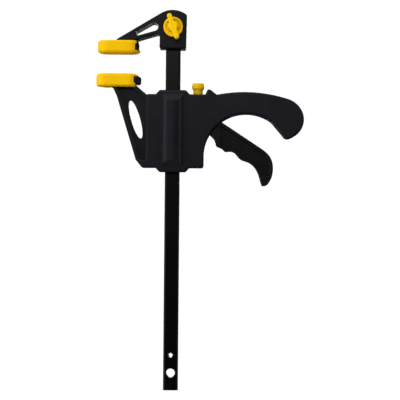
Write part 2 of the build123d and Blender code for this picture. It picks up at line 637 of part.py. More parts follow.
def handle_outline():
    """Block with its collars, thumb hump and grip, as one face."""
    shoulder = COLLAR_HALF_WIDTH + COLLAR_SKIRT
    hump = (THUMB_HUMP_X, BLOCK_HEIGHT + THUMB_HUMP_RISE)
    hump_front = (THUMB_HUMP_X - THUMB_HUMP_FRONT, BLOCK_HEIGHT)
    valley = crown_point(THUMB_HUMP_X + THUMB_HUMP_BACK)
    brow = crown_point(GRIP_END - GRIP_BROW_SETBACK)
    cheek = (GRIP_END - GRIP_CHEEK_SETBACK, GRIP_NOSE_BOTTOM + GRIP_CHEEK_RISE)
    jowl = (GRIP_END - GRIP_CHEEK_SETBACK, GRIP_NOSE_BOTTOM + GRIP_JOWL_RISE)
    nose = (GRIP_END - GRIP_NOSE_SETBACK, GRIP_NOSE_BOTTOM)
    chin = (GRIP_END - GRIP_CHIN_SETBACK, GRIP_NOSE_BOTTOM + GRIP_CHIN_RISE)
    bow_end = bow_point(GRIP_BOW_X + GRIP_BOW_SPAN)
    half_arc = math.sqrt(0.5) * GRIP_BOW_RADIUS
    heel_x, heel_z = arm_heel()
    heel_right = heel_x + MOVING_ARM_HEEL[0]

    crown_arc = ThreePointArc(valley, (GRIP_CROWN_X, GRIP_CROWN_Z), brow)
    brow_arc = TangentArc(brow, cheek, tangent=crown_arc % 1)
    cheek_arc = TangentArc(cheek, jowl, tangent=brow_arc % 1)
    jowl_arc = TangentArc(jowl, nose, tangent=cheek_arc % 1)
    nose_arc = TangentArc(nose, chin, tangent=jowl_arc % 1)
    bow_arc = ThreePointArc(
        bow_end,
        (GRIP_BOW_X - half_arc, GRIP_BOW_Z + half_arc),
        (BLOCK_RIGHT, GRIP_BOW_Z),
    )
    straight_sides = Polyline(
        (BLOCK_RIGHT, GRIP_BOW_Z),
        (BLOCK_RIGHT, 0),
        (shoulder, 0),
        (COLLAR_HALF_WIDTH, -COLLAR_HEIGHT),
        (-COLLAR_HALF_WIDTH, -COLLAR_HEIGHT),
        (-shoulder, 0),
        (heel_right, 0),
        (heel_x, heel_z),
        (-BLOCK_LEFT, heel_z),
        (-BLOCK_LEFT, BLOCK_HEIGHT),
        (-shoulder, BLOCK_HEIGHT),
        (-COLLAR_HALF_WIDTH, BLOCK_HEIGHT + COLLAR_HEIGHT),
        (COLLAR_HALF_WIDTH, BLOCK_HEIGHT + COLLAR_HEIGHT),
        (shoulder, BLOCK_HEIGHT),
        hump_front,
        hump,
        valley,
    )
    arcs = [crown_arc, brow_arc, cheek_arc, jowl_arc, nose_arc, Line(chin, bow_end), bow_arc]
    face = make_face([*straight_sides.edges(), *arcs])
    face = round_corners(
        face,
        SHELL_CORNER_RADIUS,
        (BLOCK_RIGHT, 0),
        (COLLAR_HALF_WIDTH, -COLLAR_HEIGHT),
        (-COLLAR_HALF_WIDTH, -COLLAR_HEIGHT),
        (heel_right, 0),
        (-BLOCK_LEFT, BLOCK_HEIGHT),
        (-COLLAR_HALF_WIDTH, BLOCK_HEIGHT + COLLAR_HEIGHT),
        (COLLAR_HALF_WIDTH, BLOCK_HEIGHT + COLLAR_HEIGHT),
        hump,
    )
    return round_corners(
        face,
        SHELL_HOLLOW_RADIUS,
        (shoulder, 0),
        (-shoulder, 0),
        (-BLOCK_LEFT, heel_z),
        (-shoulder, BLOCK_HEIGHT),
        (shoulder, BLOCK_HEIGHT),
        hump_front,
        valley,
    )


def moving_arm_outline():
    """Arm of the moving jaw, from inside the block's left side up to its foot."""
    right = -BLOCK_LEFT + MOVING_ARM_FLANGE
    heel_x, heel_z = arm_heel()
    sole_z = heel_z - MOVING_ARM_FLANGE
    return polygon(
        (-MOVING_ARM_REACH, MOVING_ARM_RISE),
        from_arm_corner(MOVING_ARM_THROAT),
        from_arm_corner(MOVING_ARM_KNEE),
        (heel_x, heel_z),
        (heel_x + MOVING_ARM_FLANGE, sole_z),
        (right, sole_z),
        (right, BLOCK_HEIGHT - SHELL_CORNER_RADIUS),
        (-BLOCK_LEFT, BLOCK_HEIGHT),
        (-BLOCK_LEFT - MOVING_ARM_SHOULDER, MOVING_ARM_RISE),
    )


def moving_arm_window():
    """Long oval opening that leans with the arm."""
    plan = Ellipse(MOVING_WINDOW_LENGTH / 2, MOVING_WINDOW_WIDTH / 2)
    place = Pos(-BLOCK_LEFT - MOVING_WINDOW_TO_BLOCK, MOVING_WINDOW_Z)
    return place * Rot(0, 0, 90 + MOVING_WINDOW_TILT) * plan


# ------------------------------------------------------------------------- trigger

def trigger_point(place, swing=0.0):
    """A point of the blade, given along and under its back edge, at a squeeze angle."""
    along, under = place
    slope = math.radians(swing - TRIGGER_SLOPE)
    out = TRIGGER_BACK_OFFSET - under
    x = PIVOT_X + along * math.cos(slope) - out * math.sin(slope)
    z = PIVOT_Z + along * math.sin(slope) + out * math.cos(slope)
    return x, z


def blade_downwards():
    """Direction that points from the blade's back edge to its fingers."""
    return Vector(*trigger_point((0, 1))) - Vector(*trigger_point((0, 0)))


def towards(place, centre, distance):
    """The place moved by a distance towards a centre."""
    along, under = centre[0] - place[0], centre[1] - place[1]
    step = distance / math.hypot(along, under)
    return place[0] + along * step, place[1] + under * step


def blade_outline():
    """Blade with a straight back, a hooked tip and the finger waves."""
    back = Line(trigger_point(BACK_START), trigger_point(BACK_END))
    toe_outer = trigger_point(TOE_OUTER)
    toe_inner = trigger_point(TOE_INNER)
    hook = Spline(
        trigger_point(BACK_END),
        *[trigger_point(place) for place in HOOK_POINTS],
        toe_outer,
        tangents=[back % 1, blade_downwards()],
    )
    toe = TangentArc(toe_outer, toe_inner, tangent=hook % 1)
    places = [TOE_INNER, TOE_SIDE, *FINGER_WAVES, WAVES_END]
    waves = Spline(*[trigger_point(place) for place in places])
    neck = Polyline(
        trigger_point(WAVES_END),
        trigger_point(NECK_CORNER),
        (PIVOT_X, PIVOT_Z),
        (PIVOT_X, PIVOT_Z + TRIGGER_HUB_RADIUS),
        trigger_point(BACK_START),
    )
    return make_face([back, hook, toe, waves, *neck.edges()])


def hub_outline():
    """Hub round the pivot, and an arm whose nose presses on the drive plates."""
    root_z = PIVOT_Z + TRIGGER_HUB_RADIUS - NOSE_RADIUS
    arm = hull_of_circles(
        (PIVOT_X, root_z, NOSE_RADIUS),
        (PIVOT_X - NOSE_REACH, NOSE_Z, NOSE_RADIUS),
    )
    return arm + Pos(PIVOT_X, PIVOT_Z) * Circle(TRIGGER_HUB_RADIUS)


def trigger_recess():
    """Sunk panel of the blade, inside its rim and its thicker back edge."""
    rim = [towards(place, HOOK_CENTRE, TRIGGER_BACK_RIM) for place in HOOK_POINTS]
    back_end = trigger_point((BACK_END[0], TRIGGER_BACK_RIM))
    back = Line(trigger_point((RECESS_START, TRIGGER_BACK_RIM)), back_end)
    hook = Spline(
        back_end,
        *[trigger_point(place) for place in rim],
        trigger_point(RECESS_END_OUTER),
        tangents=[back % 1, blade_downwards()],
    )
    places = [
        (along, under - TRIGGER_RIM) for along, under in FINGER_WAVES if along > RECESS_LOW_START
    ]
    inner_end = (RECESS_LOW_START, places[-1][1])
    waves = Spline(*[trigger_point(place) for place in [RECESS_END_INNER, *places, inner_end]])
    ends = Line(hook @ 1, waves @ 0), Line(waves @ 1, back @ 0)
    return make_face([back, hook, waves, *ends])


def make_trigger():
    """Blade with a web between deep rims, on a narrower hub with a nose."""
    half = TRIGGER_DEPTH / 2
    hub_half = TRIGGER_HUB_DEPTH / 2
    blade = slab(blade_outline(), -half, half)
    rims = edges_at_depth(blade, -half) + edges_at_depth(blade, half)
    blade = fillet(rims, TRIGGER_EDGE_RADIUS)
    recess = trigger_recess()
    blade -= slab(recess, -half, -TRIGGER_WEB / 2)
    blade -= slab(recess, TRIGGER_WEB / 2, half)
    blade -= rod(PIVOT_X, PIVOT_Z, TRIGGER_STEP_RADIUS, -half, TRIGGER_STEP - half)
    blade -= rod(PIVOT_X, PIVOT_Z, TRIGGER_STEP_RADIUS, half - TRIGGER_STEP, half)
    boss_room = PIVOT_BOSS_RADIUS + WORKING_GAP
    blade -= rod(PIVOT_X, PIVOT_Z, boss_room, -half, -hub_half)
    blade -= rod(PIVOT_X, PIVOT_Z, boss_room, hub_half, half)
    trigger = blade + slab(hub_outline(), -hub_half, hub_half)
    trigger -= rod(PIVOT_X, PIVOT_Z, PIVOT_PIN_DIAMETER / 2 + PIN_CLEARANCE, -half, half)
    return Pos(0, 0, HANDLE_Z) * trigger


def make_trigger_pin():
    """Steel pin held in blind holes of both shells."""
    half = INNER_DEPTH + SHELL_WALL / 2
    return Pos(0, 0, HANDLE_Z) * rod(PIVOT_X, PIVOT_Z, PIVOT_PIN_DIAMETER / 2, -half, half)


# -------------------------------------------------------------- plates and springs

def drive_plate(low):
    """Flat plate round the bar that the trigger's nose presses."""
    length = DRIVE_PLATE_RIGHT + DRIVE_PLATE_LEFT
    middle = (DRIVE_PLATE_RIGHT - DRIVE_PLATE_LEFT) / 2
    plan = RectangleRounded(length, PLATE_DEPTH, PLATE_CORNER_RADIUS)
    plate = Pos(middle, 0, low) * extrude(plan, amount=PLATE_THICKNESS)
    clearance = BAR_CLEARANCE + PLATE_GAP
    return Pos(0, 0, HANDLE_Z) * (plate - bar_passage(low, low + PLATE_THICKNESS, clearance))


def make_drive_plate_upper():
    """Upper drive plate, under the trigger's nose."""
    return drive_plate(DRIVE_PLATE_TOP - PLATE_THICKNESS)


def make_drive_plate_lower():
    """Lower drive plate, on the drive spring."""
    return drive_plate(DRIVE_PLATES_LOW)


def make_drive_spring():
    """Coil spring round the bar under the drive plates."""
    spring = coil(
        0,
        DRIVE_SPRING_INNER,
        DRIVE_SPRING_WIRE,
        DRIVE_SPRING_TURNS,
        SHELL_WALL + PLATE_GAP,
        DRIVE_PLATES_LOW - PLATE_GAP,
    )
    return Pos(0, 0, HANDLE_Z) * spring


def make_brake_plate():
    """Plate round the bar, tilted about its rounded left end."""
    half = PLATE_THICKNESS / 2
    side = Pos(BRAKE_PLATE_LENGTH / 2, 0) * Rectangle(BRAKE_PLATE_LENGTH, PLATE_THICKNESS)
    plate = slab(side + Circle(half), -PLATE_DEPTH / 2, PLATE_DEPTH / 2)
    hole_x = BAR_HALF_WIDTH + BRAKE_HOLE_CLEARANCE
    hole_y = BAR_HALF_THICKNESS + BAR_CLEARANCE + PLATE_GAP
    plate -= block(
        (BRAKE_PIVOT_TO_BAR - hole_x, -hole_y, -half),
        (BRAKE_PIVOT_TO_BAR + hole_x, hole_y, half),
    )
    return Pos(-BRAKE_PIVOT_TO_BAR, 0, HANDLE_Z + BRAKE_PIVOT_Z) * Rot(0, -BRAKE_TILT, 0) * plate


def make_brake_spring():
    """Small coil spring under the brake plate, in line with the button."""
    spring = coil(
        BUTTON_X,
        BRAKE_SPRING_INNER,
        BRAKE_SPRING_WIRE,
        BRAKE_SPRING_TURNS,
        BRAKE_SPRING_SEAT + PLATE_GAP,
        BRAKE_SPRING_TOP,
    )
    return Pos(0, 0, HANDLE_Z) * spring


def make_release_button():
    """Turned button: a head over the block, a stem, and a flange and nub inside."""
    head = BUTTON_HEAD_DIAMETER / 2
    stem = BUTTON_STEM_DIAMETER / 2
    flange = BUTTON_FLANGE_DIAMETER / 2
    nub = BUTTON_NUB_DIAMETER / 2
    profile = polygon(
        (0, BUTTON_NUB_LOW),
        (nub, BUTTON_NUB_LOW),
        (nub, BUTTON_FLANGE_LOW),
        (flange, BUTTON_FLANGE_LOW),
        (flange, BUTTON_FLANGE_TOP),
        (stem, BUTTON_FLANGE_TOP),
        (stem, BUTTON_HEAD_LOW),
        (head, BUTTON_HEAD_LOW + BUTTON_HEAD_HEIGHT / 3),
        (head, BUTTON_TOP - BUTTON_HEAD_HEIGHT / 3),
        (head - BUTTON_BEVEL / 2, BUTTON_TOP),
        (0, BUTTON_TOP),
    )
    return Pos(BUTTON_X, 0, HANDLE_Z) * revolve(Plane.XZ * profile, Axis.Z)


# ----------------------------------------------------------------- handle shells

def bar_bulge():
    """Rib over the bar with a half elliptical section and slanted ends."""
    half = BULGE_WIDTH / 2
    tube = Pos(0, SHELL_DEPTH) * extrude(Ellipse(half, BULGE_RISE), amount=BLOCK_HEIGHT)
    peak = SHELL_DEPTH + BULGE_RISE
    side = polygon(
        (SHELL_DEPTH - SHELL_WALL / 2, BULGE_END),
        (SHELL_DEPTH, BULGE_END),
        (peak, BULGE_END + BULGE_SLANT),
        (peak, BLOCK_HEIGHT - BULGE_SLANT),
        (SHELL_DEPTH, BLOCK_HEIGHT),
        (SHELL_DEPTH - SHELL_WALL / 2, BLOCK_HEIGHT),
    )
    return tube & extrude(Plane.YZ.offset(-half) * side, amount=BULGE_WIDTH)


def trigger_slot():
    """Wedge about the pivot that the trigger sweeps through the bow's wall."""
    reach = 2 * WAVES_END[0]
    low = math.radians(TRIGGER_SLOPE + TRIGGER_SLOT_ANGLE)
    return polygon(
        (PIVOT_X, PIVOT_Z),
        (PIVOT_X + reach * math.cos(low), PIVOT_Z - reach * math.sin(low)),
        trigger_point((reach, -TRIGGER_CLEARANCE), TRIGGER_TRAVEL),
        trigger_point((BACK_START[0], -TRIGGER_CLEARANCE), TRIGGER_TRAVEL),
    )


def shell_hollow(outline):
    """The room inside a shell half, with every wall, boss and rib left standing."""
    left = -BLOCK_LEFT + SHELL_WALL
    top = BLOCK_HEIGHT + COLLAR_HEIGHT
    shoulder = COLLAR_HALF_WIDTH + COLLAR_SKIRT
    room = offset(outline, -SHELL_WALL) & rectangle(left, SHELL_WALL, GRIP_END, top)
    room -= rectangle(left, CEILING, shoulder + SHELL_HOLLOW_RADIUS, top)
    room -= rectangle(left, LEDGE_TOP - LEDGE_THICKNESS, LEDGE_RIGHT, LEDGE_TOP)
    room -= rectangle(left, LEDGE_TOP, BRAKE_ANCHOR - BRAKE_PIVOT_TO_BAR, CEILING)
    for place in range(GRIP_RIB_COUNT):
        rib_x = GRIP_RIB_FIRST + place * GRIP_RIB_PITCH
        room -= rectangle(rib_x, 0, rib_x + GRIP_RIB, GRIP_CROWN_Z)
    for x, z in SHELL_SCREW_PLACES:
        room -= Pos(x, z) * Circle(SHELL_BOSS_RADIUS)
    return slab(room, 0, INNER_DEPTH)


def moving_arm_half():
    """Rear half of the moving jaw's arm and foot, with a web between deep rims."""
    face = moving_arm_outline()
    half = MOVING_ARM_DEPTH / 2
    arm = slab(face, 0, half)
    pocket = offset(face, -MOVING_ARM_FLANGE) - handle_outline()
    arm -= slab(pocket, MOVING_ARM_WEB / 2, half)
    arm -= slab(moving_arm_window(), 0, half)
    foot_right = MOVING_PAD_RIGHT + MOVING_FOOT_PROUD
    foot = make_foot(foot_left_end(MOVING_PAD_RIGHT), foot_right, MOVING_ARM_RISE)
    rear = block((-MOVING_ARM_REACH, 0, 0), (0, FOOT_DEPTH, MOVING_ARM_RISE + FOOT_THICKNESS))
    return arm + (foot & rear)


def trigger_room():
    """Room for the trigger's swing and the blind hole of its pin, less the pin's boss."""
    boss = rod(PIVOT_X, PIVOT_Z, PIVOT_BOSS_RADIUS, TRIGGER_HUB_DEPTH / 2 + WORKING_GAP, INNER_DEPTH)
    pin_end = INNER_DEPTH + SHELL_WALL / 2 + PLATE_GAP
    pin_hole = rod(PIVOT_X, PIVOT_Z, PIVOT_PIN_DIAMETER / 2 + PIN_CLEARANCE, 0, pin_end)
    return slab(trigger_slot(), 0, INNER_DEPTH) - boss + pin_hole


def brake_room():
    """Round seat of the brake plate's left end, open to the right."""
    room = PLATE_THICKNESS / 2 + WORKING_GAP
    mouth = rectangle(
        -BRAKE_PIVOT_TO_BAR,
        BRAKE_PIVOT_Z - room,
        BRAKE_ANCHOR - BRAKE_PIVOT_TO_BAR,
        BRAKE_PIVOT_Z + room + PLATE_GAP,
    )
    seat = Pos(-BRAKE_PIVOT_TO_BAR, BRAKE_PIVOT_Z) * Circle(room)
    return slab(mouth + seat, 0, INNER_DEPTH)


def upright_rooms():
    """Bar passage, drive spring bore, brake spring cup and the button's hole."""
    rooms = bar_passage(-COLLAR_HEIGHT, BLOCK_HEIGHT + COLLAR_HEIGHT, BAR_CLEARANCE)
    rooms += post(0, SHELL_WALL, DRIVE_PLATES_LOW, SPRING_BORE_RADIUS)
    rooms += post(BUTTON_X, BRAKE_SPRING_SEAT, LEDGE_TOP, SPRING_CUP_RADIUS)
    stem_room = BUTTON_STEM_DIAMETER / 2 + BUTTON_HOLE_CLEARANCE
    return rooms + post(BUTTON_X, CEILING, BLOCK_HEIGHT, stem_room)


def make_shell_half():
    """The rear shell before its screw holes, with half of the moving jaw's arm."""
    outline = handle_outline()
    shell = slab(outline, 0, SHELL_DEPTH)
    shell = fillet(edges_at_depth(shell, SHELL_DEPTH), SHELL_EDGE_RADIUS)
    shell = chamfer(edges_at_depth(shell, 0), SHELL_SEAM)
    shell = shell + bar_bulge() + moving_arm_half() - shell_hollow(outline)

    rear = block((0, 0, 0), (GRIP_END, INNER_DEPTH, BLOCK_HEIGHT))
    cup_low = BRAKE_SPRING_SEAT - SPRING_CUP_WALL
    shell += post(BUTTON_X, cup_low, LEDGE_TOP, SPRING_CUP_RADIUS + SPRING_CUP_WALL) & rear
    shell += rod(PIVOT_X, PIVOT_Z, PIVOT_BOSS_RADIUS, TRIGGER_HUB_DEPTH / 2 + WORKING_GAP, INNER_DEPTH)
    return shell - trigger_room() - brake_room() - upright_rooms()


def make_rear_shell():
    """Rear half with the sunk seats and clear holes of its screws."""
    shell = make_shell_half()
    seat = SHELL_DEPTH - SHELL_SCREW_SUNK - SHELL_SCREW_HEAD_HEIGHT
    for x, z in SHELL_SCREW_PLACES:
        shell -= rod(x, z, SHELL_SCREW_HEAD / 2 + SOFT_CLEARANCE, seat, SHELL_DEPTH)
        shell -= rod(x, z, SHELL_SCREW_DIAMETER / 2 + PLATE_GAP, 0, seat)
    return Pos(0, 0, HANDLE_Z) * shell


def make_front_shell():
    """Front half, the mirror image, with blind screw holes."""
    shell = mirror(make_shell_half(), about=Plane.XZ)
    for x, z in SHELL_SCREW_PLACES:
        radius = SHELL_SCREW_DIAMETER / 2 + PIN_CLEARANCE
        shell -= rod(x, z, radius, -SHELL_SCREW_REACH - WORKING_GAP, 0)
    return Pos(0, 0, HANDLE_Z) * shell


def make_shell_screws():
    """Pan-head screws with a cross recess, one in each boss."""
    seat = SHELL_DEPTH - SHELL_SCREW_SUNK - SHELL_SCREW_HEAD_HEIGHT
    top = SHELL_DEPTH - SHELL_SCREW_SUNK
    screws = []
    for x, z in SHELL_SCREW_PLACES:
        screw = rod(x, z, SHELL_SCREW_HEAD / 2, seat, top)
        screw = fillet(edges_at_depth(screw, top), SHELL_SCREW_SUNK)
        slot = Rectangle(SHELL_SCREW_CROSS, SHELL_SCREW_SLOT)
        cross = slot + Rot(0, 0, 90) * slot
        screw -= slab(Pos(x, z) * cross, top - SHELL_SCREW_HEAD_HEIGHT / 2, top)
        screw += rod(x, z, SHELL_SCREW_DIAMETER / 2, -SHELL_SCREW_REACH, seat)
        screws.append(screw)
    return Pos(0, 0, HANDLE_Z) * Compound(children=screws)


PARTS = {
    "bar": make_bar,
    "stop_pin": make_stop_pin,
    "fixed_jaw": make_fixed_jaw,
    "fixed_jaw_pad": make_fixed_jaw_pad,
    "wing_knob": make_wing_knob,
    "knob_screw": make_knob_screw,
    "knob_washer": make_knob_washer,
    "jaw_nut": make_jaw_nut,
    "front_shell": make_front_shell,
    "rear_shell": make_rear_shell,
    "shell_screws": make_shell_screws,
    "moving_jaw_pad": make_moving_jaw_pad,
    "trigger": make_trigger,
    "trigger_pin": make_trigger_pin,
    "drive_plate_upper": make_drive_plate_upper,
    "drive_plate_lower": make_drive_plate_lower,
    "drive_spring": make_drive_spring,
    "brake_plate": make_brake_plate,
    "brake_spring": make_brake_spring,
    "release_button": make_release_button,
}


def main():
    os.makedirs("parts", exist_ok=True)
    for name, make in PARTS.items():
        export_step(make(), f"parts/{name}.step")


if __name__ == "__main__":
    main()
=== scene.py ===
import math

import bmesh
import bpy
import numpy as np
from bpy.props import FloatProperty, FloatVectorProperty, PointerProperty
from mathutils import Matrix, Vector


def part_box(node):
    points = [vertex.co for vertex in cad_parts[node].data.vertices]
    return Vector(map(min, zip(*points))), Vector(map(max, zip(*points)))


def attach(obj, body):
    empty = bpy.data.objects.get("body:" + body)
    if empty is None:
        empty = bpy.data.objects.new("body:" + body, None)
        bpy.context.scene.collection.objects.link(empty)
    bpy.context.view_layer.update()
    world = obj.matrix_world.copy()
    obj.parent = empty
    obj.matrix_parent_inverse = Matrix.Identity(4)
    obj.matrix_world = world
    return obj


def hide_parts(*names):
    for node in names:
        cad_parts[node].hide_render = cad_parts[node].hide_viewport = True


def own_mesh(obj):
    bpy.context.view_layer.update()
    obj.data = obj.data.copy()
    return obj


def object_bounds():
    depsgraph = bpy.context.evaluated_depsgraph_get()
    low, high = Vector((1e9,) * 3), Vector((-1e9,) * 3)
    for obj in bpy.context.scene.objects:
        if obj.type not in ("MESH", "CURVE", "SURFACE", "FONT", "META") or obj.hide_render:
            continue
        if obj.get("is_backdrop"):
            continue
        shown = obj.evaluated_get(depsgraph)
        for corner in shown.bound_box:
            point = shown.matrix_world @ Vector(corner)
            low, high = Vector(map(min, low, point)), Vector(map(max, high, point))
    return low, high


bl_info = {
    "name": "Quick release bar clamp",
    "version": (1, 0, 0),
    "blender": (4, 5, 0),
    "location": "View3D > Sidebar > Clamp",
    "description": "Dresses the clamp's CAD frame with pads, fasteners, finishes and a studio",
    "category": "Add Mesh",
}

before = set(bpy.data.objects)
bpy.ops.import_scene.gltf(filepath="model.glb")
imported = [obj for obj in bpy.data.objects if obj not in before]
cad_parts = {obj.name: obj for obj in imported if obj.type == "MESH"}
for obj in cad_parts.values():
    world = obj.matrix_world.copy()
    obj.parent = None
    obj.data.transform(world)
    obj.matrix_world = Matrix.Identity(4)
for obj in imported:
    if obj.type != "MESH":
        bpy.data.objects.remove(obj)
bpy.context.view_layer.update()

MM = 0.001
UPPER_PAD_NODE = "fixed_jaw_pad"
LOWER_PAD_NODE = "moving_jaw_pad"
QUARTER = math.pi / 2
WHITE = (1, 1, 1, 1)


def screen_colour(red, green, blue):
    """Linear colour of a screen colour given as three numbers up to 255."""
    shares = [value / 255 for value in (red, green, blue)]
    return tuple(
        share / 12.92 if share <= 0.04045 else ((share + 0.055) / 1.055) ** 2.4
        for share in shares
    )


def number(name, description, default, **details):
    """A number property."""
    return FloatProperty(name=name, description=description, default=default, **details)


def length(name, description, default):
    """A length property in metres."""
    return number(name, description, default, unit="LENGTH", precision=5)


def angle(name, description, degrees):
    """An angle property, with its default in degrees."""
    return number(name, description, math.radians(degrees), subtype="ANGLE")


def power(name, description, default):
    """The power of a light in watts."""
    return number(name, description, default, unit="POWER", min=0)


def colour(name, description, default):
    """A colour property."""
    return FloatVectorProperty(
        name=name, description=description, default=default, subtype="COLOR", min=0, max=1
    )


# --------------------------------------------------------- settings

class ClampPadSettings(bpy.types.PropertyGroup):
    """Sizes of the two slipper pads."""

    sole: length("Sole", "Thickness of the gripping sole", 2.6 * MM)
    wall: length("Wall", "Thickness of the side walls", 1.85 * MM)
    tunnel_height: length("Tunnel height", "Height of the tunnel for the jaw's tongue", 6.3 * MM)
    corner: length("Corner radius", "Radius of the corners in plan", 8.2 * MM)
    sole_edge: length("Sole edge", "Height of the rounding round the sole", 2.4 * MM)
    sole_reach: length("Sole reach", "How far in the rounding round the sole goes", 3.4 * MM)
    lip_edge: length("Lip edge", "Radius round the lips", 1.6 * MM)
    mouth_edge: length("Mouth edge", "Radius of the sole's upper edge in the mouth", 0.4 * MM)
    nook: length("Nook", "Radius under the lips, inside the tunnel", 0.8 * MM)
    slot_bead: length("Slot bead", "Rise of the lips beside the slot", 0.4 * MM)
    slot_half_width: length("Slot half width", "Half width of the slot for the arm", 5.3 * MM)
    slot_start: length("Slot start", "Distance from the closed end to the slot", 5.0 * MM)
    mouth_step: length("Mouth step", "How far the walls stop short of the sole", 3.8 * MM)
    lip_step: length("Lip step", "How far the lips stop short of the sole", 2.4 * MM)
    lip_depth: length("Lip depth", "Height of the lips where they pass the walls", 2.0 * MM)
    crown: length("Crown", "How much lower the sole's rim lies than its middle", 0.3 * MM)


class ClampFastenerSettings(bpy.types.PropertyGroup):
    """Sizes of the nut, the jaw screw, the stop pin and the shell screws."""

    thread_pitch: length("Thread pitch", "Advance of the jaw screw's thread in one turn", 0.8 * MM)
    thread_depth: length("Thread depth", "Depth of the jaw screw's thread", 0.45 * MM)
    nut_chamfer: length("Nut chamfer", "Height of the chamfer on the nut's corners", 0.5 * MM)
    head_dome: length("Head dome", "Rise of a shell screw's head over its rim", 0.45 * MM)
    head_height: length("Head height", "Height of a shell screw's head", 2.0 * MM)
    cross_depth: length("Cross depth", "Depth of a shell screw's cross recess", 1.1 * MM)
    pin_wall: length("Pin wall", "Wall of the rolled stop pin", 0.8 * MM)
    pin_edge: length("Pin edge", "Chamfer on the stop pin's ends", 0.3 * MM)
    pin_slit: length("Pin slit", "Width of the stop pin's slit", 0.15 * MM)
    thread_play: length("Thread play", "Gap between the jaw screw and the nut's bore", 0.05 * MM)
    turn_step: angle("Turn step", "Turn of each shell screw's cross from the one before it", 37)


class ClampSpringSettings(bpy.types.PropertyGroup):
    """Sizes of the two coil springs in the handle."""

    drive_wire: length("Drive wire", "Wire diameter of the drive spring", 1.2 * MM)
    drive_turns: number("Drive turns", "Turns of the drive spring", 7)
    drive_travel: length("Drive travel", "How far the plates push the drive spring", 3.6 * MM)
    brake_wire: length("Brake wire", "Wire diameter of the brake spring", 0.7 * MM)
    brake_turns: number("Brake turns", "Turns of the brake spring", 4)
    brake_travel: length("Brake travel", "How far the plate pushes the brake spring", 3.4 * MM)
    closed_turns: number("Closed turns", "Turns at each end that lie on the next one", 0.75)


class ClampFinishSettings(bpy.types.PropertyGroup):
    """Colours and grain of the finishes."""

    shell: colour("Shell", "Charcoal plastic of the handle", screen_colour(15, 14, 23))
    jaw: colour("Jaw", "Black plastic of the fixed jaw", screen_colour(9, 9, 10))
    trigger: colour("Trigger", "Black plastic of the trigger", screen_colour(6, 6, 8))
    bar: colour("Bar", "Black coating of the bar", screen_colour(4, 4, 4))
    pad: colour("Pad", "Yellow soft plastic of the pads", screen_colour(252, 198, 4))
    knob: colour("Knob", "Yellow plastic of the knob", screen_colour(253, 210, 6))
    button: colour("Button", "Yellow plastic of the button", screen_colour(236, 190, 10))
    zinc: colour("Zinc", "Plated steel of the fasteners", screen_colour(196, 198, 202))
    spring: colour("Spring", "Bright steel of the springs", screen_colour(170, 172, 176))
    plate: colour("Plate", "Hardened steel of the plates", screen_colour(92, 92, 96))
    grain: length("Grain", "Size of the moulded grain", 0.45 * MM)
    soft_edge: length("Soft edge", "Radius that the finishes give to sharp edges", 0.35 * MM)


class ClampStageSettings(bpy.types.PropertyGroup):
    """Camera, light and floor."""

    camera_across: length("Camera across", "Camera's place along X", 22.52 * MM)
    camera_height: length("Camera height", "Camera's height over the hanging hole", 139.1 * MM)
    camera_distance: length("Camera distance", "Distance from the bar to the camera", 1.0)
    lens: number("Lens", "Focal length in millimetres", 111.8, unit="CAMERA")
    roll: angle("Roll", "Turn of the camera about its view", -0.5)
    left_power: power("Left power", "Power of the left light", 12.0)
    right_power: power("Right power", "Power of the right light", 6.0)
    top_power: power("Top power", "Power of the top light", 9.0)
    front_power: power("Front power", "Power of the front light", 9.0)
    rear_power: power("Rear power", "Power of the rear light", 14.0)
    low_power: power("Low power", "Power of the low left light", 5.0)
    room_light: number("Room light", "Brightness of the room round the clamp", 0.02)
    backdrop_light: number("Backdrop light", "Brightness of the white behind the clamp", 1.05)
    floor_drop: length("Floor drop", "How far the floor lies under the clamp", 260 * MM)
    floor_radius: length("Floor radius", "Radius of the round floor", 0.36)
    floor_thickness: length("Floor thickness", "Thickness of the round floor", 5 * MM)
    floor_tone: colour("Floor tone", "Pale grey of the floor", (0.57, 0.57, 0.57))


# ----------------------------------------------- surfaces as meshes

WELD = 0.01 * MM


def grid_quads(rows, columns):
    """Quads between neighbours of a grid whose points are stored row by row."""
    row, column = np.meshgrid(np.arange(rows - 1), np.arange(columns - 1), indexing="ij")
    corner = row * columns + column
    across = corner + columns
    return np.stack([corner, corner + 1, across + 1, across], -1).reshape(-1, 4)


def mesh_object(name, points, quads):
    """A mesh object at the origin, welded, with its faces turned outwards."""
    mesh = bpy.data.meshes.new(name)
    mesh.from_pydata(points.tolist(), [], quads.tolist())
    cage = bmesh.new()
    cage.from_mesh(mesh)
    bmesh.ops.remove_doubles(cage, verts=cage.verts, dist=WELD)
    bmesh.ops.dissolve_degenerate(cage, edges=cage.edges, dist=WELD / 10)
    bmesh.ops.recalc_face_normals(cage, faces=cage.faces)
    cage.to_mesh(mesh)
    cage.free()
    made = bpy.data.objects.new(name, mesh)
    bpy.context.scene.collection.objects.link(made)
    return made


def smooth_by_angle(piece, degrees):
    """Shades a piece smooth and keeps the edges that bend by more than the angle crisp."""
    piece.data.shade_smooth()
    cage = bmesh.new()
    cage.from_mesh(piece.data)
    for edge in cage.edges:
        edge.smooth = len(edge.link_faces) == 2 and edge.calc_face_angle(0) < math.radians(degrees)
    cage.to_mesh(piece.data)
    cage.free()


def smooth_piece(name, points, quads, material, degrees=35):
    """A mesh object of one material, smooth but for edges that bend more than the angle."""
    piece = mesh_object(name, points, quads)
    smooth_by_angle(piece, degrees)
    piece.data.materials.append(material)
    return piece


def between(first, last, share):
    """Value a share of the way from the first to the last."""
    return first + share * (last - first)


def smooth_step(value):
    """0 under 0, 1 over 1, and three squares less two cubes of the value between."""
    value = min(max(value, 0), 1)
    return value**2 * (3 - 2 * value)


def full_turn(sides):
    """Turns round a circle of so many sides, whose last point lies on the first."""
    return np.linspace(0, 2 * math.pi, sides + 1)


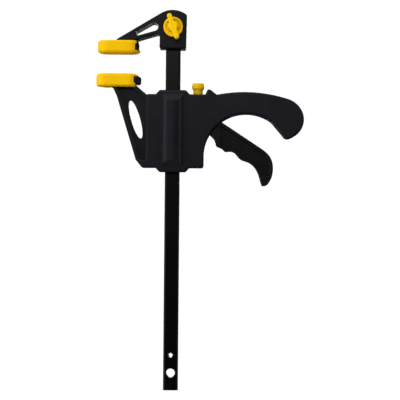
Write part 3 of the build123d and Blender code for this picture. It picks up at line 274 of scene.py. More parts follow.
def round_y(radius, turn, place):
    """Points round the Y axis, given their radius, turn and place along it."""
    parts = np.broadcast_arrays(radius * np.cos(turn), place, radius * np.sin(turn))
    return np.stack(parts, -1)


# ----------------------------------------------------- slipper pads

# Points on half of a pad's plan: along the mouth's end and corner where it has no wall,
# then along the rest of the corner, the side, the closed corner and the closed end
BARE_COLUMNS = (4, 9)
WALLED_COLUMNS = (9, 15, 17, 5)

# Rings along each run of a pad's profile
SOLE_RINGS = 9
EDGE_RINGS = 8
NIP_RINGS = 5
FLOOR_RINGS = 7
WALL_RINGS = 12
LIP_RINGS = 13

# Where on the way from the brim to the slot the lips rise
BEAD_START, BEAD_RUN = 0.6, 0.25

# How many times its own length the lips' lead takes to fade along the path
LEAD_FADE = 3


def plan_place(path, long, half, radius):
    """Places, turns and outward normals on one half of a rounded rectangle.

    The path runs from the middle of the end at X = 0 over the end, a quarter circle,
    the long side, a quarter circle and the end at X = -long. The turn is the path's
    part inside the quarter circles over their radius, and each place is the centre of
    its circle plus the radius times the normal.
    """
    side, bend, leg = half - radius, radius * QUARTER, long - 2 * radius
    first = np.clip((path - side) / radius, 0, QUARTER)
    second = np.clip((path - side - bend - leg) / radius, 0, QUARTER)
    turn = first + second
    normal = np.stack([np.cos(turn), np.sin(turn)], -1)
    along_leg = np.clip(path - side - bend, 0, leg)
    along_end = np.clip(path - side - 2 * bend - leg, 0, side)
    centre = np.stack([-radius - along_leg, np.clip(path, 0, side) - along_end], -1)
    return centre + radius * normal, turn, normal


def pad_path(pad, long, half, step_turn):
    """Distances round half of a pad's plan, without its wall and with its wall."""
    radius = pad.corner
    side, bend = half - radius, radius * QUARTER
    step = side + radius * step_turn
    whole = 2 * (side + bend) + long - 2 * radius

    def spread(knots, columns):
        runs = [np.linspace(a, b, n)[:-1] for a, b, n in zip(knots, knots[1:], columns)]
        return np.concatenate([*runs, knots[-1:]])

    walled_knots = [step, side + bend, whole - side - bend, whole - side, whole]
    return spread([0, side, step], BARE_COLUMNS), spread(walled_knots, WALLED_COLUMNS)


def mirrored(half_grid):
    """Grid of places followed by its mirror image across Y, in one walk round."""
    return np.concatenate([half_grid, half_grid[:, ::-1] * np.array([1, -1, 1])], 1)


def pad_sole(pad, long, half, bare, walled):
    """Sole of a pad, open on top where the rim stands.

    Bare and walled each hold a path round the plan and the tunnel wall's foot along it.
    The first rings lie between the spine and the outline, and their height is the crown
    times the square of their share of the way. Then the rings follow a quarter ellipse
    round the edge, the side, the bare edge of the mouth, which a quarter circle rounds,
    and the floor back to the spine.
    """
    path = np.concatenate([bare[0], walled[0]])
    outline, turn, normal = plan_place(path, long, half, pad.corner)
    spine = np.column_stack([np.clip(outline[:, 0], half - long, -half), 0 * path])
    is_bare = np.arange(len(path)) < len(bare[0])
    share_of_step = np.clip(turn / turn[len(bare[0])], 0, 1)
    nip = pad.mouth_edge * np.where(is_bare, np.clip(2 - 2 * share_of_step, 0, 1), 0)[:, None]
    foot = np.concatenate([bare[1], walled[1]])
    rings = []

    def ring(plan, height):
        rings.append(np.column_stack([plan, np.broadcast_to(height, len(plan))]))

    rim = outline - pad.sole_reach * normal
    for share in np.linspace(0, 1, SOLE_RINGS):
        ring(between(spine, rim, share), pad.crown * share**2)
    for bend in np.linspace(0, QUARTER, EDGE_RINGS)[1:]:
        inset = pad.sole_reach * (1 - math.sin(bend))
        ring(outline - inset * normal, between(pad.sole_edge, pad.crown, math.cos(bend)))
    for bend in np.linspace(0, QUARTER, NIP_RINGS):
        height = pad.sole - nip[:, 0] * (1 - math.sin(bend))
        ring(outline - nip * (1 - math.cos(bend)) * normal, height)
    standing = len(rings) - 1
    edge = outline - nip * normal
    ring(between(edge, foot, 0.5), pad.sole)
    ring(foot, pad.sole)
    for share in np.linspace(0, 1, FLOOR_RINGS)[1:]:
        ring(between(foot, spine, share), pad.sole)

    points = mirrored(np.stack(rings))
    rows, columns = points.shape[:2]
    quads = grid_quads(rows, columns).reshape(rows - 1, columns - 1, 4)
    keep = np.ones(quads.shape[:2], bool)
    keep[standing : standing + 2, len(bare[0]) : columns - 1 - len(bare[0])] = False
    return points.reshape(-1, 3), quads[keep]


def rim_plan(pad, long, half, path):
    """Outline, way inwards, tunnel's wall and slot's edge at distances round a pad.

    The tunnel's wall is the outline less the wall's thickness, straight to the mouth,
    and the slot is straight with a half round end.
    """
    outline, turn, normal = plan_place(path, long, half, pad.corner)
    straight = (turn <= QUARTER)[:, None]
    inward = np.where(straight, [0.0, 1.0], normal)
    at_mouth = np.column_stack([outline[:, 0], np.full(len(path), half - pad.wall)])
    tunnel = np.where(straight, at_mouth, outline - pad.wall * normal)
    slot_end = pad.slot_start + pad.slot_half_width - long
    beyond = np.clip(path - np.interp(-slot_end, -outline[:, 0], path), 0, None)
    bend = QUARTER * beyond / beyond[-1]
    slot_x = np.maximum(outline[:, 0], slot_end) - pad.slot_half_width * np.sin(bend)
    slot = np.column_stack([slot_x, pad.slot_half_width * np.cos(bend)])
    return outline, inward, tunnel, slot


def pad_rim(pad, long, half, path, high):
    """Wall and lip of a pad, swept round the plan from mouth to mouth.

    The outer half of the profile goes up the wall, round the brim as a quarter circle
    and over the lip to the slot, where it rises by the bead. The inner half goes up
    the tunnel's wall, round its nook and under the lip to the slot. At the mouth each
    ring starts further out by the lips' lead times a smooth step of its height, which
    fades along the path. Both ends close on the line midway between the two halves.
    """
    ceiling = pad.sole + pad.tunnel_height
    mouth_turn = math.acos(1 - pad.mouth_step / pad.corner)
    lead = pad.corner * (mouth_turn - math.acos(1 - pad.lip_step / pad.corner))
    fade = np.clip(1 - (path - path[0]) / (LEAD_FADE * lead), 0, 1)
    outer, inner = [], []

    def led_plan(height):
        rise = (height - high + pad.lip_depth) / (pad.lip_depth / 2) + 1
        return rim_plan(pad, long, half, path - lead * fade * smooth_step(rise))

    def ring(rings, plan, height):
        rings.append(np.column_stack([plan, np.full(len(plan), height)]))

    for share in np.linspace(0, 1, WALL_RINGS):
        height = between(pad.sole, high - pad.lip_edge, share)
        ring(outer, led_plan(height)[0], height)
        height = between(pad.sole, ceiling - pad.nook, share)
        ring(inner, led_plan(height)[2], height)
    for bend in np.linspace(0, QUARTER, EDGE_RINGS)[1:]:
        away, up = 1 - math.cos(bend), 1 - math.sin(bend)
        height = high - pad.lip_edge * up
        outline, inward, _, _ = led_plan(height)
        ring(outer, outline - pad.lip_edge * away * inward, height)
        height = ceiling - pad.nook * up
        _, inward, tunnel, _ = led_plan(height)
        ring(inner, tunnel - pad.nook * away * inward, height)
    brim, nook, slot = outer[-1][:, :2], inner[-1][:, :2], led_plan(high)[3]
    for share in np.linspace(0, 1, LIP_RINGS)[1:]:
        bead = pad.slot_bead * smooth_step((share - BEAD_START) / BEAD_RUN)
        ring(outer, between(brim, slot, share), high + bead)
        ring(inner, between(nook, slot, share), ceiling)

    half_grid = np.stack(outer + inner[::-1])
    cap = (half_grid[:, :1] + half_grid[::-1, :1]) / 2
    points = mirrored(np.concatenate([cap, half_grid], 1))
    return points.reshape(-1, 3), grid_quads(*points.shape[:2])


def pad_surface(pad, long, deep, high):
    """Closed pad with its sole down at height 0 and its mouth at X = 0.

    The sole and the rim share the plan's columns. In the mouth's bare columns the
    spare floor between the outline and the tunnel grows with the turn.
    """
    half = deep / 2
    step_turn = math.acos(1 - pad.mouth_step / pad.corner)
    bare, walled = pad_path(pad, long, half, step_turn)
    outline, _, tunnel, _ = rim_plan(pad, long, half, walled)
    bare_outline, bare_turn, _ = plan_place(bare, long, half, pad.corner)
    spare = (outline[0] - tunnel[0]) * (bare_turn / step_turn)[:, None]
    sole_points, sole_quads = pad_sole(
        pad, long, half, (bare, bare_outline - spare), (walled, tunnel)
    )
    rim_points, rim_quads = pad_rim(pad, long, half, walled, high)
    points = np.concatenate([sole_points, rim_points])
    return points, np.concatenate([sole_quads, rim_quads + len(sole_points)])


def make_pad(name, node, sole_up, material):
    """A pad in the place of a CAD node, with its sole down or up."""
    low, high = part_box(node)
    size = high - low
    points, quads = pad_surface(bpy.context.scene.clamp_pads, size.x, size.y, size.z)
    points[:, 0] += high.x
    points[:, 1] += (low.y + high.y) / 2
    points[:, 2] = high.z - points[:, 2] if sole_up else low.z + points[:, 2]
    return smooth_piece(name, points, quads, material, degrees=50)


# ----------------------------------------------- fasteners, springs

# Sides round each part, rows in one pitch of the thread, and steps in one turn of a coil
THREAD_SIDES, NUT_SIDES, HEAD_SIDES, PIN_SIDES, WIRE_SIDES = 32, 96, 72, 48, 12
THREAD_ROWS, HEAD_RINGS, COIL_STEPS = 8, 22, 40

# How much steeper the thread's flanks are than without its flat crest and root
THREAD_SLOPE = 1.4

# A screw head's ring on its side, as a share of the side's height
SIDE_RING = 0.55

# The cross recess, in shares of the head's radius: half its width, the length of its
# arms, how far each fades, and how much shallower the arms are at the rim
CROSS_WIDTH, CROSS_REACH = 0.20, 0.66
CROSS_WIDTH_FADE, CROSS_REACH_FADE = 0.07, 0.16
CROSS_RISE = 0.35

# Points of a CAD node that are nearer than this are one point
SAME_PLACE = 0.002 * MM


def thread_points(radius, depth, pitch, front, back):
    """Round rod along Y with a thread, from front to back.

    At a turn and a place along the rod the radius is less by the depth times a triangle
    wave of the place over the pitch, less the turn's share, which is made steeper about
    its middle and cut off at 0 and 1, so crest and root are flat. Both ends taper over
    one pitch to the thread's root and close at a pole.
    """
    rows = 2 + int(THREAD_ROWS * (back - front) / pitch)
    turn, place = np.meshgrid(full_turn(THREAD_SIDES), np.linspace(front, back, rows))
    wave = np.abs(2 * ((place / pitch - turn / (2 * math.pi)) % 1) - 1)
    groove = np.clip(0.5 + THREAD_SLOPE * (wave - 0.5), 0, 1)
    taper = np.clip(1 - np.minimum(place - front, back - place) / pitch, 0, 1)
    rod = round_y(radius - depth * np.maximum(groove, taper), turn, place)
    ends = rod[[0, -1]] * np.array([0, 1, 0])
    points = np.concatenate([ends[:1], rod, ends[1:]])
    return points.reshape(-1, 3), grid_quads(rows + 2, THREAD_SIDES + 1)


def nut_points(across_flats, bore, thick, chamfer):
    """Hexagon nut along Y with chamfered corners and a countersunk bore.

    The outline's radius at a turn is half the width across flats over the cosine of
    the turn from the nearest flat's middle. Near both faces the radius is limited by a
    cone that meets the face at the inscribed circle.
    """
    turn = full_turn(NUT_SIDES)
    inscribed = across_flats / 2
    outline = inscribed / np.cos((turn + math.pi / 6) % (math.pi / 3) - math.pi / 6)
    drop = (outline - inscribed) / (outline.max() - inscribed) * chamfer
    rings = [
        (bore, chamfer),
        (bore + chamfer, 0),
        (inscribed, 0),
        (outline, drop),
        (outline, thick - drop),
        (inscribed, thick),
        (bore + chamfer, thick),
        (bore, thick - chamfer),
        (bore, chamfer),
    ]
    points = [round_y(radius + 0 * turn, turn, place) for radius, place in rings]
    return np.concatenate(points), grid_quads(len(rings), NUT_SIDES + 1)


def screw_head_points(radius, height, dome, cross_depth, turned):
    """Pan head of a shell screw along Y, its face towards +Y, with a cross recess.

    Rings go from the middle over the dome, a paraboloid, down the side and back to the
    middle of the base. The recess takes away its depth where a point is inside either
    of two crossed bars. It fades over the last part of their length and width.
    """
    turn = full_turn(HEAD_SIDES)
    share = np.concatenate([np.linspace(0, 1, HEAD_RINGS), [1.0, 1.0]])[:, None]
    across, up = np.abs(share * np.cos(turn - turned)), np.abs(share * np.sin(turn - turned))
    narrow, wide = np.minimum(across, up), np.maximum(across, up)
    inside = np.clip((CROSS_WIDTH - narrow) / CROSS_WIDTH_FADE, 0, 1)
    inside = inside * np.clip((CROSS_REACH - wide) / CROSS_REACH_FADE, 0, 1)
    place = height - dome * share**2 - cross_depth * inside * (1 - CROSS_RISE * wide)
    place[-2] = SIDE_RING * (height - dome)
    place[-1] = 0
    points = round_y(radius * share, turn, place)
    points = np.concatenate([points, points[-1:] * np.array([0, 1, 0])])
    return points.reshape(-1, 3), grid_quads(len(share) + 1, HEAD_SIDES + 1)


def rolled_pin_points(outer, wall, front, back, edge, slit):
    """Rolled spring pin along Y: a tube that is open along a slit, which faces up.

    The profile is a rectangle with chamfers at its outer corners, swept from one side
    of the slit round to the other. Each end of the sweep closes at the profile's middle.
    """
    inner = outer - wall
    radii = np.array([inner, outer - edge, outer, outer, outer - edge, inner, inner])
    places = np.array([front, front, front + edge, back - edge, back, back, front])
    half_gap = slit / 2 / (outer - wall / 2)
    turn = QUARTER + np.linspace(half_gap, 2 * math.pi - half_gap, PIN_SIDES + 1)[:, None]
    tube = round_y(radii, turn, places)
    middles = tube[[0, -1], :-1].mean(1, keepdims=True)
    poles = np.broadcast_to(middles, (2, len(radii), 3))
    points = np.concatenate([poles[:1], tube, poles[1:]])
    return points.reshape(-1, 3), grid_quads(len(turn) + 2, len(radii))


def coil_points(outer, wire, turns, closed, tall):
    """Coil spring of round wire, upright on the plane Z = 0, with closed end turns.

    The wire's middle goes round at the outer radius less half the wire. It climbs one
    wire in a turn over the closed turns at each end, and evenly between them. The
    wire's section is a circle across the ways outwards and up, with a pole at each end.
    """
    place = np.linspace(0, turns, int(COIL_STEPS * turns))
    climb = tall - wire
    knots = [0, closed, turns - closed, turns]
    height = np.interp(place, knots, [0, closed * wire, climb - closed * wire, climb])
    round_turn = 2 * math.pi * place
    out = np.column_stack([np.cos(round_turn), np.sin(round_turn), 0 * place])[:, None]
    up = np.array([0, 0, 1])
    middle = (outer - wire / 2) * out + (height + wire / 2)[:, None, None] * up
    turn = full_turn(WIRE_SIDES)[:, None]
    section = wire / 2 * (np.cos(turn) * out + np.sin(turn) * up)
    poles = np.broadcast_to(middle[[0, -1]], (2, len(turn), 3))
    points = np.concatenate([poles[:1], middle + section, poles[1:]])
    return points.reshape(-1, 3), grid_quads(len(place) + 2, len(turn))


def node_axis(node):
    """Middle of a CAD node's box across X and Z."""
    low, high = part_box(node)
    return (low.x + high.x) / 2, (low.z + high.z) / 2


def loose_boxes(node):
    """Lowest and highest corners of each separate solid of a CAD node.

    Points at one place get one number. Then the two points of every edge get the lower
    of their numbers, again and again until no number changes, so each solid has its own.
    """
    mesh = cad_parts[node].data
    places, edges = np.empty(3 * len(mesh.vertices)), np.empty(2 * len(mesh.edges), int)
    mesh.vertices.foreach_get("co", places)
    mesh.edges.foreach_get("vertices", edges)
    places = places.reshape(-1, 3)
    _, shared = np.unique(np.round(places / SAME_PLACE), axis=0, return_inverse=True)
    shared = shared.reshape(-1)
    ends = shared[edges.reshape(-1, 2)]
    solids, changed = np.arange(shared.max() + 1), True
    while changed:
        lowest = solids.copy()
        np.minimum.at(lowest, ends, solids[ends].min(1, keepdims=True))
        changed = (lowest != solids).any()
        solids = lowest
    groups = [places[solids[shared] == solid] for solid in np.unique(solids)]
    boxes = [(group.min(0), group.max(0)) for group in groups]
    return sorted(boxes, key=lambda box: tuple(box[0]))


# --------------------------------------------------------- finishes

# Specular level of the hard plastic and the bar's coating, and of the soft plastic
HARD_SPECULAR = 0.13
SOFT_SPECULAR = 0.05

# How far the rounded normal leaves the true one where an edge takes its full pale colour: rubbed
# wear with a painted edge highlight on the plastic, rubbed-through coating on the bar
PLASTIC_WEAR_AND_HIGHLIGHT = 0.16
COATING_WEAR = 0.10

# Sizes of the unevenness of each finish
WEAR_PATCHES = 4 * MM
HARD_CLOUDS, HARD_UNEVEN, HARD_SCUFFS = 14 * MM, 2.2 * MM, 9 * MM
SOFT_CLOUDS, SOFT_FLECKS, SOFT_PORES = 10 * MM, 1.3 * MM, 0.2 * MM
DRAW_LINES, COATING_PEEL, COATING_RUBS = 0.35 * MM, 0.9 * MM, 6 * MM
STEEL_PATCHES, STEEL_MARKS = 3 * MM, 0.25 * MM

# Stretch of the marks along Z on plastic and bar, and round the turned parts' Y axis
SCUFF_STRETCH = (1, 1, 0.25)
RUB_STRETCH = (1, 1, 0.18)
DRAW_STRETCH = (1, 1, 0.02)
TURNING_STRETCH = (0.15, 1, 0.15)

# Depths of the bumps
SOFT_DEPTH, COATING_DEPTH, STEEL_DEPTH = 0.01 * MM, 0.012 * MM, 0.01 * MM


class Wire:
    """A node's output. Arithmetic on it adds Math nodes to its finish."""

    def __init__(self, finish, socket):
        self.finish = finish
        self.socket = socket

    def math(self, operation, first, second):
        settings = {"operation": operation}
        return self.finish.node("ShaderNodeMath", settings, {0: first, 1: second})

    def __add__(self, other):
        return self.math("ADD", self, other)

    def __radd__(self, other):
        return self.math("ADD", other, self)

    def __sub__(self, other):
        return self.math("SUBTRACT", self, other)

    def __rsub__(self, other):
        return self.math("SUBTRACT", other, self)

    def __mul__(self, other):
        return self.math("MULTIPLY", self, other)

    def __rmul__(self, other):
        return self.math("MULTIPLY", other, self)


class Finish:
    """Node tree of one material, from places on the object to its shader."""

    def __init__(self, name):
        self.material = bpy.data.materials.new(name)
        self.material.use_nodes = True
        self.tree = self.material.node_tree
        self.tree.nodes.clear()
        self.place = self.node("ShaderNodeTexCoord", output="Object")

    def node(self, kind, settings=None, sockets=None, output=0):
        """Adds a node, sets its settings, then gives its sockets values or wires."""
        made = self.tree.nodes.new(kind)
        for key, value in (settings or {}).items():
            setattr(made, key, value)
        for key, value in (sockets or {}).items():
            if isinstance(value, Wire):
                self.tree.links.new(value.socket, made.inputs[key])
            else:
                made.inputs[key].default_value = value
        return Wire(self, made.outputs[output])

    def stretched(self, scale):
        """The place with its axes scaled."""
        return self.node("ShaderNodeMapping", None, {"Vector": self.place, "Scale": scale})

    def noise(self, size, detail=2.0, place=None, roughness=0.5):
        """Cloudy noise from 0 to 1 whose lumps are about as large as the size."""
        sockets = {
            "Vector": place or self.place,
            "Scale": 1 / size,
            "Detail": detail,
            "Roughness": roughness,
        }
        return self.node("ShaderNodeTexNoise", None, sockets)

    def cells(self, size):
        """Distance to the nearest of scattered points, for pebbled grain."""
        sockets = {"Vector": self.place, "Scale": 1 / size}
        return self.node("ShaderNodeTexVoronoi", {"feature": "SMOOTH_F1"}, sockets)

    def ramp(self, value, low, high):
        """0 under the low value, 1 over the high value and smooth between them."""
        settings = {"interpolation_type": "SMOOTHSTEP"}
        return self.node("ShaderNodeMapRange", settings, {0: value, 1: low, 2: high})

    def mix(self, factor, first, second):
        """A colour between two colours."""
        sockets = {0: factor, 6: first, 7: second}
        return self.node("ShaderNodeMix", {"data_type": "RGBA"}, sockets, output=2)

    def soft_edges(self, radius):
        """The normal with sharp edges rounded to a radius."""
        return self.node("ShaderNodeBevel", {"samples": 6}, {"Radius": radius})

    def patchy_edges(self, normal, reach):
        """1 on sharp edges and 0 on open faces, broken up by noise."""
        true_normal = self.node("ShaderNodeNewGeometry", output="Normal")
        settings = {"operation": "DOT_PRODUCT"}
        facing = self.node("ShaderNodeVectorMath", settings, {0: normal, 1: true_normal}, "Value")
        patches = self.noise(WEAR_PATCHES, 3.0)
        return self.ramp((1 - facing) * patches, 0.0, reach)

    def bump(self, height, depth, normal, strength):
        """The normal tilted by a height field of the given depth."""
        sockets = {"Strength": strength, "Distance": depth, "Height": height, "Normal": normal}
        return self.node("ShaderNodeBump", None, sockets)

    def shade(self, **sockets):
        """Closes the finish with one principled shader."""
        named = {key.replace("_", " "): value for key, value in sockets.items()}
        shader = self.node("ShaderNodeBsdfPrincipled", None, named)
        closing = self.tree.nodes.new("ShaderNodeOutputMaterial")
        self.tree.links.new(shader.socket, closing.inputs["Surface"])
        return self.material


def opaque(shade_of):
    """A colour property's value with full opacity."""
    return (*shade_of, 1.0)


def lighter(shade_of, amount):
    """The colour moved towards white by an amount from 0 to 1."""
    return tuple(value + (1 - value) * amount for value in shade_of)


def times(shade_of, *shares):
    """The colour times one share, or times a share for each of its three values."""
    return tuple(np.multiply(shade_of, shares))


def moulded(name, base, roughness, grain_depth, settings):
    """Hard moulded plastic: pebbled grain, slight clouding, and pale edges that are partly rubbed
    wear and partly a painted highlight where edges catch light.
    """
    finish = Finish(name)
    edges = finish.soft_edges(settings.soft_edge)
    clouds = finish.noise(HARD_CLOUDS, 3.0)
    fine = finish.noise(HARD_UNEVEN, 4.0)
    scuffs = finish.noise(HARD_SCUFFS, 5.0, finish.stretched(SCUFF_STRETCH), 0.65)
    edge_patches = finish.patchy_edges(edges, PLASTIC_WEAR_AND_HIGHLIGHT)
    grain = finish.cells(settings.grain) + 0.5 * finish.noise(settings.grain / 2)
    pale = lighter(times(base, 1.06), 0.00125)
    body = finish.mix(finish.ramp(clouds, 0.3, 0.7), opaque(times(base, 0.94)), opaque(pale))
    # Painted highlight: sharp edges, broken up by noise, mixed towards a paler colour, partly as
    # rubbed wear
    body = finish.mix(0.55 * edge_patches, body, opaque(lighter(base, 0.06)))
    return finish.shade(
        Base_Color=body,
        Roughness=roughness + 0.10 * (fine - 0.5) - 0.10 * finish.ramp(scuffs, 0.62, 0.8),
        Normal=finish.bump(grain, grain_depth, edges, 0.6),
        Specular_IOR_Level=HARD_SPECULAR,
    )


def soft_plastic(name, base, settings):
    """Coloured plastic: silky, a little uneven, with faint handling marks."""
    finish = Finish(name)
    edges = finish.soft_edges(settings.soft_edge)
    clouds = finish.noise(SOFT_CLOUDS, 3.0)
    flecks = finish.noise(SOFT_FLECKS, 6.0, roughness=0.7)
    grime = 0.10 * finish.ramp(flecks * clouds, 0.32, 0.42)
    deep, soiled = times(base, 0.94, 0.92, 0.80), [0.5 * value + 0.01 for value in base]
    body = finish.mix(finish.ramp(clouds, 0.25, 0.75), opaque(deep), opaque(base))
    body = finish.mix(grime, body, opaque(soiled))
    pores = finish.cells(settings.grain) + 0.4 * finish.noise(SOFT_PORES)
    return finish.shade(
        Base_Color=body,
        Roughness=0.47 + 0.12 * (clouds - 0.5) + 0.2 * grime,
        Normal=finish.bump(pores, SOFT_DEPTH, edges, 0.5),
        Specular_IOR_Level=SOFT_SPECULAR,
    )


def coated_steel(name, base, settings):
    """Black coated bar: fine draw lines along Z, orange peel and rubbed corners."""
    finish = Finish(name)
    edges = finish.soft_edges(settings.soft_edge)
    lines = finish.noise(DRAW_LINES, 3.0, finish.stretched(DRAW_STRETCH))
    peel = finish.noise(COATING_PEEL, 2.0)
    rubs = finish.noise(COATING_RUBS, 5.0, finish.stretched(RUB_STRETCH), 0.7)
    edge_patches = finish.patchy_edges(edges, COATING_WEAR)
    body = finish.mix(finish.ramp(lines, 0.3, 0.75), opaque(times(base, 0.8)), opaque(base))
    body = finish.mix(0.35 * finish.ramp(rubs, 0.6, 0.8), body, opaque(lighter(base, 0.006)))
    body = finish.mix(0.5 * edge_patches, body, opaque(lighter(base, 0.16)))
    return finish.shade(
        Base_Color=body,
        Metallic=0.35 * edge_patches,
        Roughness=0.30 + 0.12 * (lines - 0.5) + 0.10 * (peel - 0.5),
        Normal=finish.bump(lines + 0.6 * peel, COATING_DEPTH, edges, 0.7),
        Specular_IOR_Level=HARD_SPECULAR,
    )


def bare_steel(name, base, roughness, tint, settings):
    """Bright or plated steel with a faint tint in patches and fine turning marks."""
    finish = Finish(name)
    edges = finish.soft_edges(settings.soft_edge / 3)
    patches = finish.noise(STEEL_PATCHES, 4.0)
    marks = finish.noise(STEEL_MARKS, 3.0, finish.stretched(TURNING_STRETCH))
    body = finish.mix(finish.ramp(patches, 0.3, 0.7), opaque(base), opaque(tint))
    return finish.shade(
        Base_Color=body,
        Metallic=1.0,
        Roughness=roughness + 0.12 * (patches - 0.5) + 0.08 * (marks - 0.5),
        Normal=finish.bump(marks, STEEL_DEPTH, edges, 0.5),
    )


def dress(node, material):
    """Gives a CAD node's object one material."""
    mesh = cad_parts[node].data
    mesh.materials.clear()
    mesh.materials.append(material)


# ------------------------------------------------------------ stage

# Side, place, width and height of each soft light
LIGHTS = (
    ("left", (-1.2, -0.55, 0.40), 1.0, 1.4),
    ("right", (1.2, -0.55, 0.36), 0.8, 1.4),
    ("top", (-0.1, -0.25, 1.35), 1.2, 0.9),
    ("front", (-0.25, -1.45, 0.82), 1.1, 0.7),
    ("low", (-0.95, -0.55, -0.55), 0.7, 0.7),
    ("rear", (-0.2, 1.5, 0.55), 1.1, 0.8),
)

# The floor's sides, the size of the clouds in its tone and how far they change it
FLOOR_SIDES, FLOOR_CLOUDS, FLOOR_CONTRAST = 96, 0.2, 0.02

# Nearest and farthest distance that the camera sees
NEAREST, FARTHEST = 0.05, 20


def soft_box(name, place, target, width, height, watts):
    """Adds a rectangular area light at a place, turned to a target."""
    light = bpy.data.lights.new(name, "AREA")
    light.shape = "RECTANGLE"
    light.size, light.size_y = width, height
    light.energy = watts
    made = bpy.data.objects.new(name, light)
    made.location = place
    made.rotation_euler = (target - Vector(place)).to_track_quat("-Z", "Y").to_euler()
    bpy.context.scene.collection.objects.link(made)


def disc_points(radius, top, thick):
    """Round floor: rings from the middle out over the top and back under it."""
    turn, base = full_turn(FLOOR_SIDES), top - thick
    radii, heights = np.array([[0, top], [radius, top], [radius, base], [0, base]]).T[..., None]
    parts = np.broadcast_arrays(radii * np.cos(turn), radii * np.sin(turn), heights)
    return np.stack(parts, -1).reshape(-1, 3), grid_quads(len(radii), len(turn))


def studio_room(stage):
    """A world that is white where the camera sees it and dim as a light."""
    world = bpy.data.worlds.new("studio_room")
    world.use_nodes = True
    nodes, links = world.node_tree.nodes, world.node_tree.links
    nodes.clear()
    seen, choice = nodes.new("ShaderNodeLightPath"), nodes.new("ShaderNodeMixShader")
    links.new(seen.outputs["Is Camera Ray"], choice.inputs[0])
    for slot, strength in ((1, stage.room_light), (2, stage.backdrop_light)):
        light = nodes.new("ShaderNodeBackground")
        light.inputs["Color"].default_value = WHITE
        light.inputs["Strength"].default_value = strength
        links.new(light.outputs[0], choice.inputs[slot])
    closing = nodes.new("ShaderNodeOutputWorld")
    links.new(choice.outputs[0], closing.inputs["Surface"])
    return world


# -------------------------------------------------------- operators

class ClampJawPads(bpy.types.Operator):
    """Make the two soft slipper pads"""

    bl_idname = "clamp.jaw_pads"
    bl_label = "Jaw pads"

    def execute(self, context):
        settings = context.scene.clamp_finish
        soft = soft_plastic("pad_soft_plastic", settings.pad, settings)
        for name, node, sole_up, body in (
            ("upper_pad", UPPER_PAD_NODE, False, "bar_and_fixed_jaw"),
            ("lower_pad", LOWER_PAD_NODE, True, "handle"),
        ):
            pad = make_pad(name, node, sole_up, soft)
            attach(pad, body)
            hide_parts(node)
        return {"FINISHED"}


class ClampJawFasteners(bpy.types.Operator):
    """Make the threaded jaw screw and its chamfered nut"""

    bl_idname = "clamp.jaw_fasteners"
    bl_label = "Jaw screw and nut"

    def execute(self, context):
        sizes = context.scene.clamp_fasteners
        settings = context.scene.clamp_finish
        tint = times(settings.zinc, 0.9)
        zinc = bare_steel("zinc_plate_jaw", settings.zinc, 0.30, tint, settings)

        low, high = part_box("knob_screw")
        x, z = node_axis("knob_screw")
        radius = (high.x - low.x) / 2
        points, quads = thread_points(
            radius, sizes.thread_depth, sizes.thread_pitch, low.y, high.y
        )
        screw = smooth_piece("jaw_screw", points + np.array([x, 0, z]), quads, zinc)

        low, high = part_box("jaw_nut")
        x, z = node_axis("jaw_nut")
        wide, thick, tall = high - low
        bore = radius + sizes.thread_play
        points, quads = nut_points(min(wide, tall), bore, thick, sizes.nut_chamfer)
        if wide > tall:
            points = points[:, [2, 1, 0]]
        nut = smooth_piece("jaw_nut_chamfered", points + np.array([x, low.y, z]), quads, zinc)
        for piece, node, body in (
            (screw, "knob_screw", "knob"),
            (nut, "jaw_nut", "bar_and_fixed_jaw"),
        ):
            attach(piece, body)
            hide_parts(node)
        return {"FINISHED"}


class ClampStopPin(bpy.types.Operator):
    """Make the rolled pin that stops the handle at the bar's end"""

    bl_idname = "clamp.stop_pin"
    bl_label = "Stop pin"

    def execute(self, context):
        sizes = context.scene.clamp_fasteners
        settings = context.scene.clamp_finish
        low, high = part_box("stop_pin")
        outer = (high.x - low.x) / 2
        black = coated_steel("pin_blackening", settings.bar, settings)
        points, quads = rolled_pin_points(
            outer, sizes.pin_wall, low.y, high.y, sizes.pin_edge, sizes.pin_slit
        )
        points = points + np.array([low.x + outer, 0, low.z + outer])
        pin = smooth_piece("rolled_stop_pin", points, quads, black)
        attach(pin, "bar_and_fixed_jaw")
        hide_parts("stop_pin")
        return {"FINISHED"}


class ClampShellScrews(bpy.types.Operator):
    """Make the six pan heads that hold the handle's shells together"""

    bl_idname = "clamp.shell_screws"
    bl_label = "Shell screws"

    def execute(self, context):
        sizes = context.scene.clamp_fasteners
        settings = context.scene.clamp_finish
        tint = times(settings.zinc, 0.88, 0.88, 0.92)
        zinc = bare_steel("zinc_plate_shell", settings.zinc, 0.34, tint, settings)
        tall, dome, depth = sizes.head_height, sizes.head_dome, sizes.cross_depth
        points, quads = [], []
        for count, (low, high) in enumerate(loose_boxes("shell_screws")):
            radius, middle = (high[0] - low[0]) / 2, (low + high) / 2
            head, faces = screw_head_points(radius, tall, dome, depth, count * sizes.turn_step)
            points.append(head + np.array([middle[0], high[1] - tall, middle[2]]))
            quads.append(faces + count * len(head))
        heads = smooth_piece(
            "shell_screw_heads", np.concatenate(points), np.concatenate(quads), zinc
        )
        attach(heads, "handle")
        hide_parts("shell_screws")
        return {"FINISHED"}


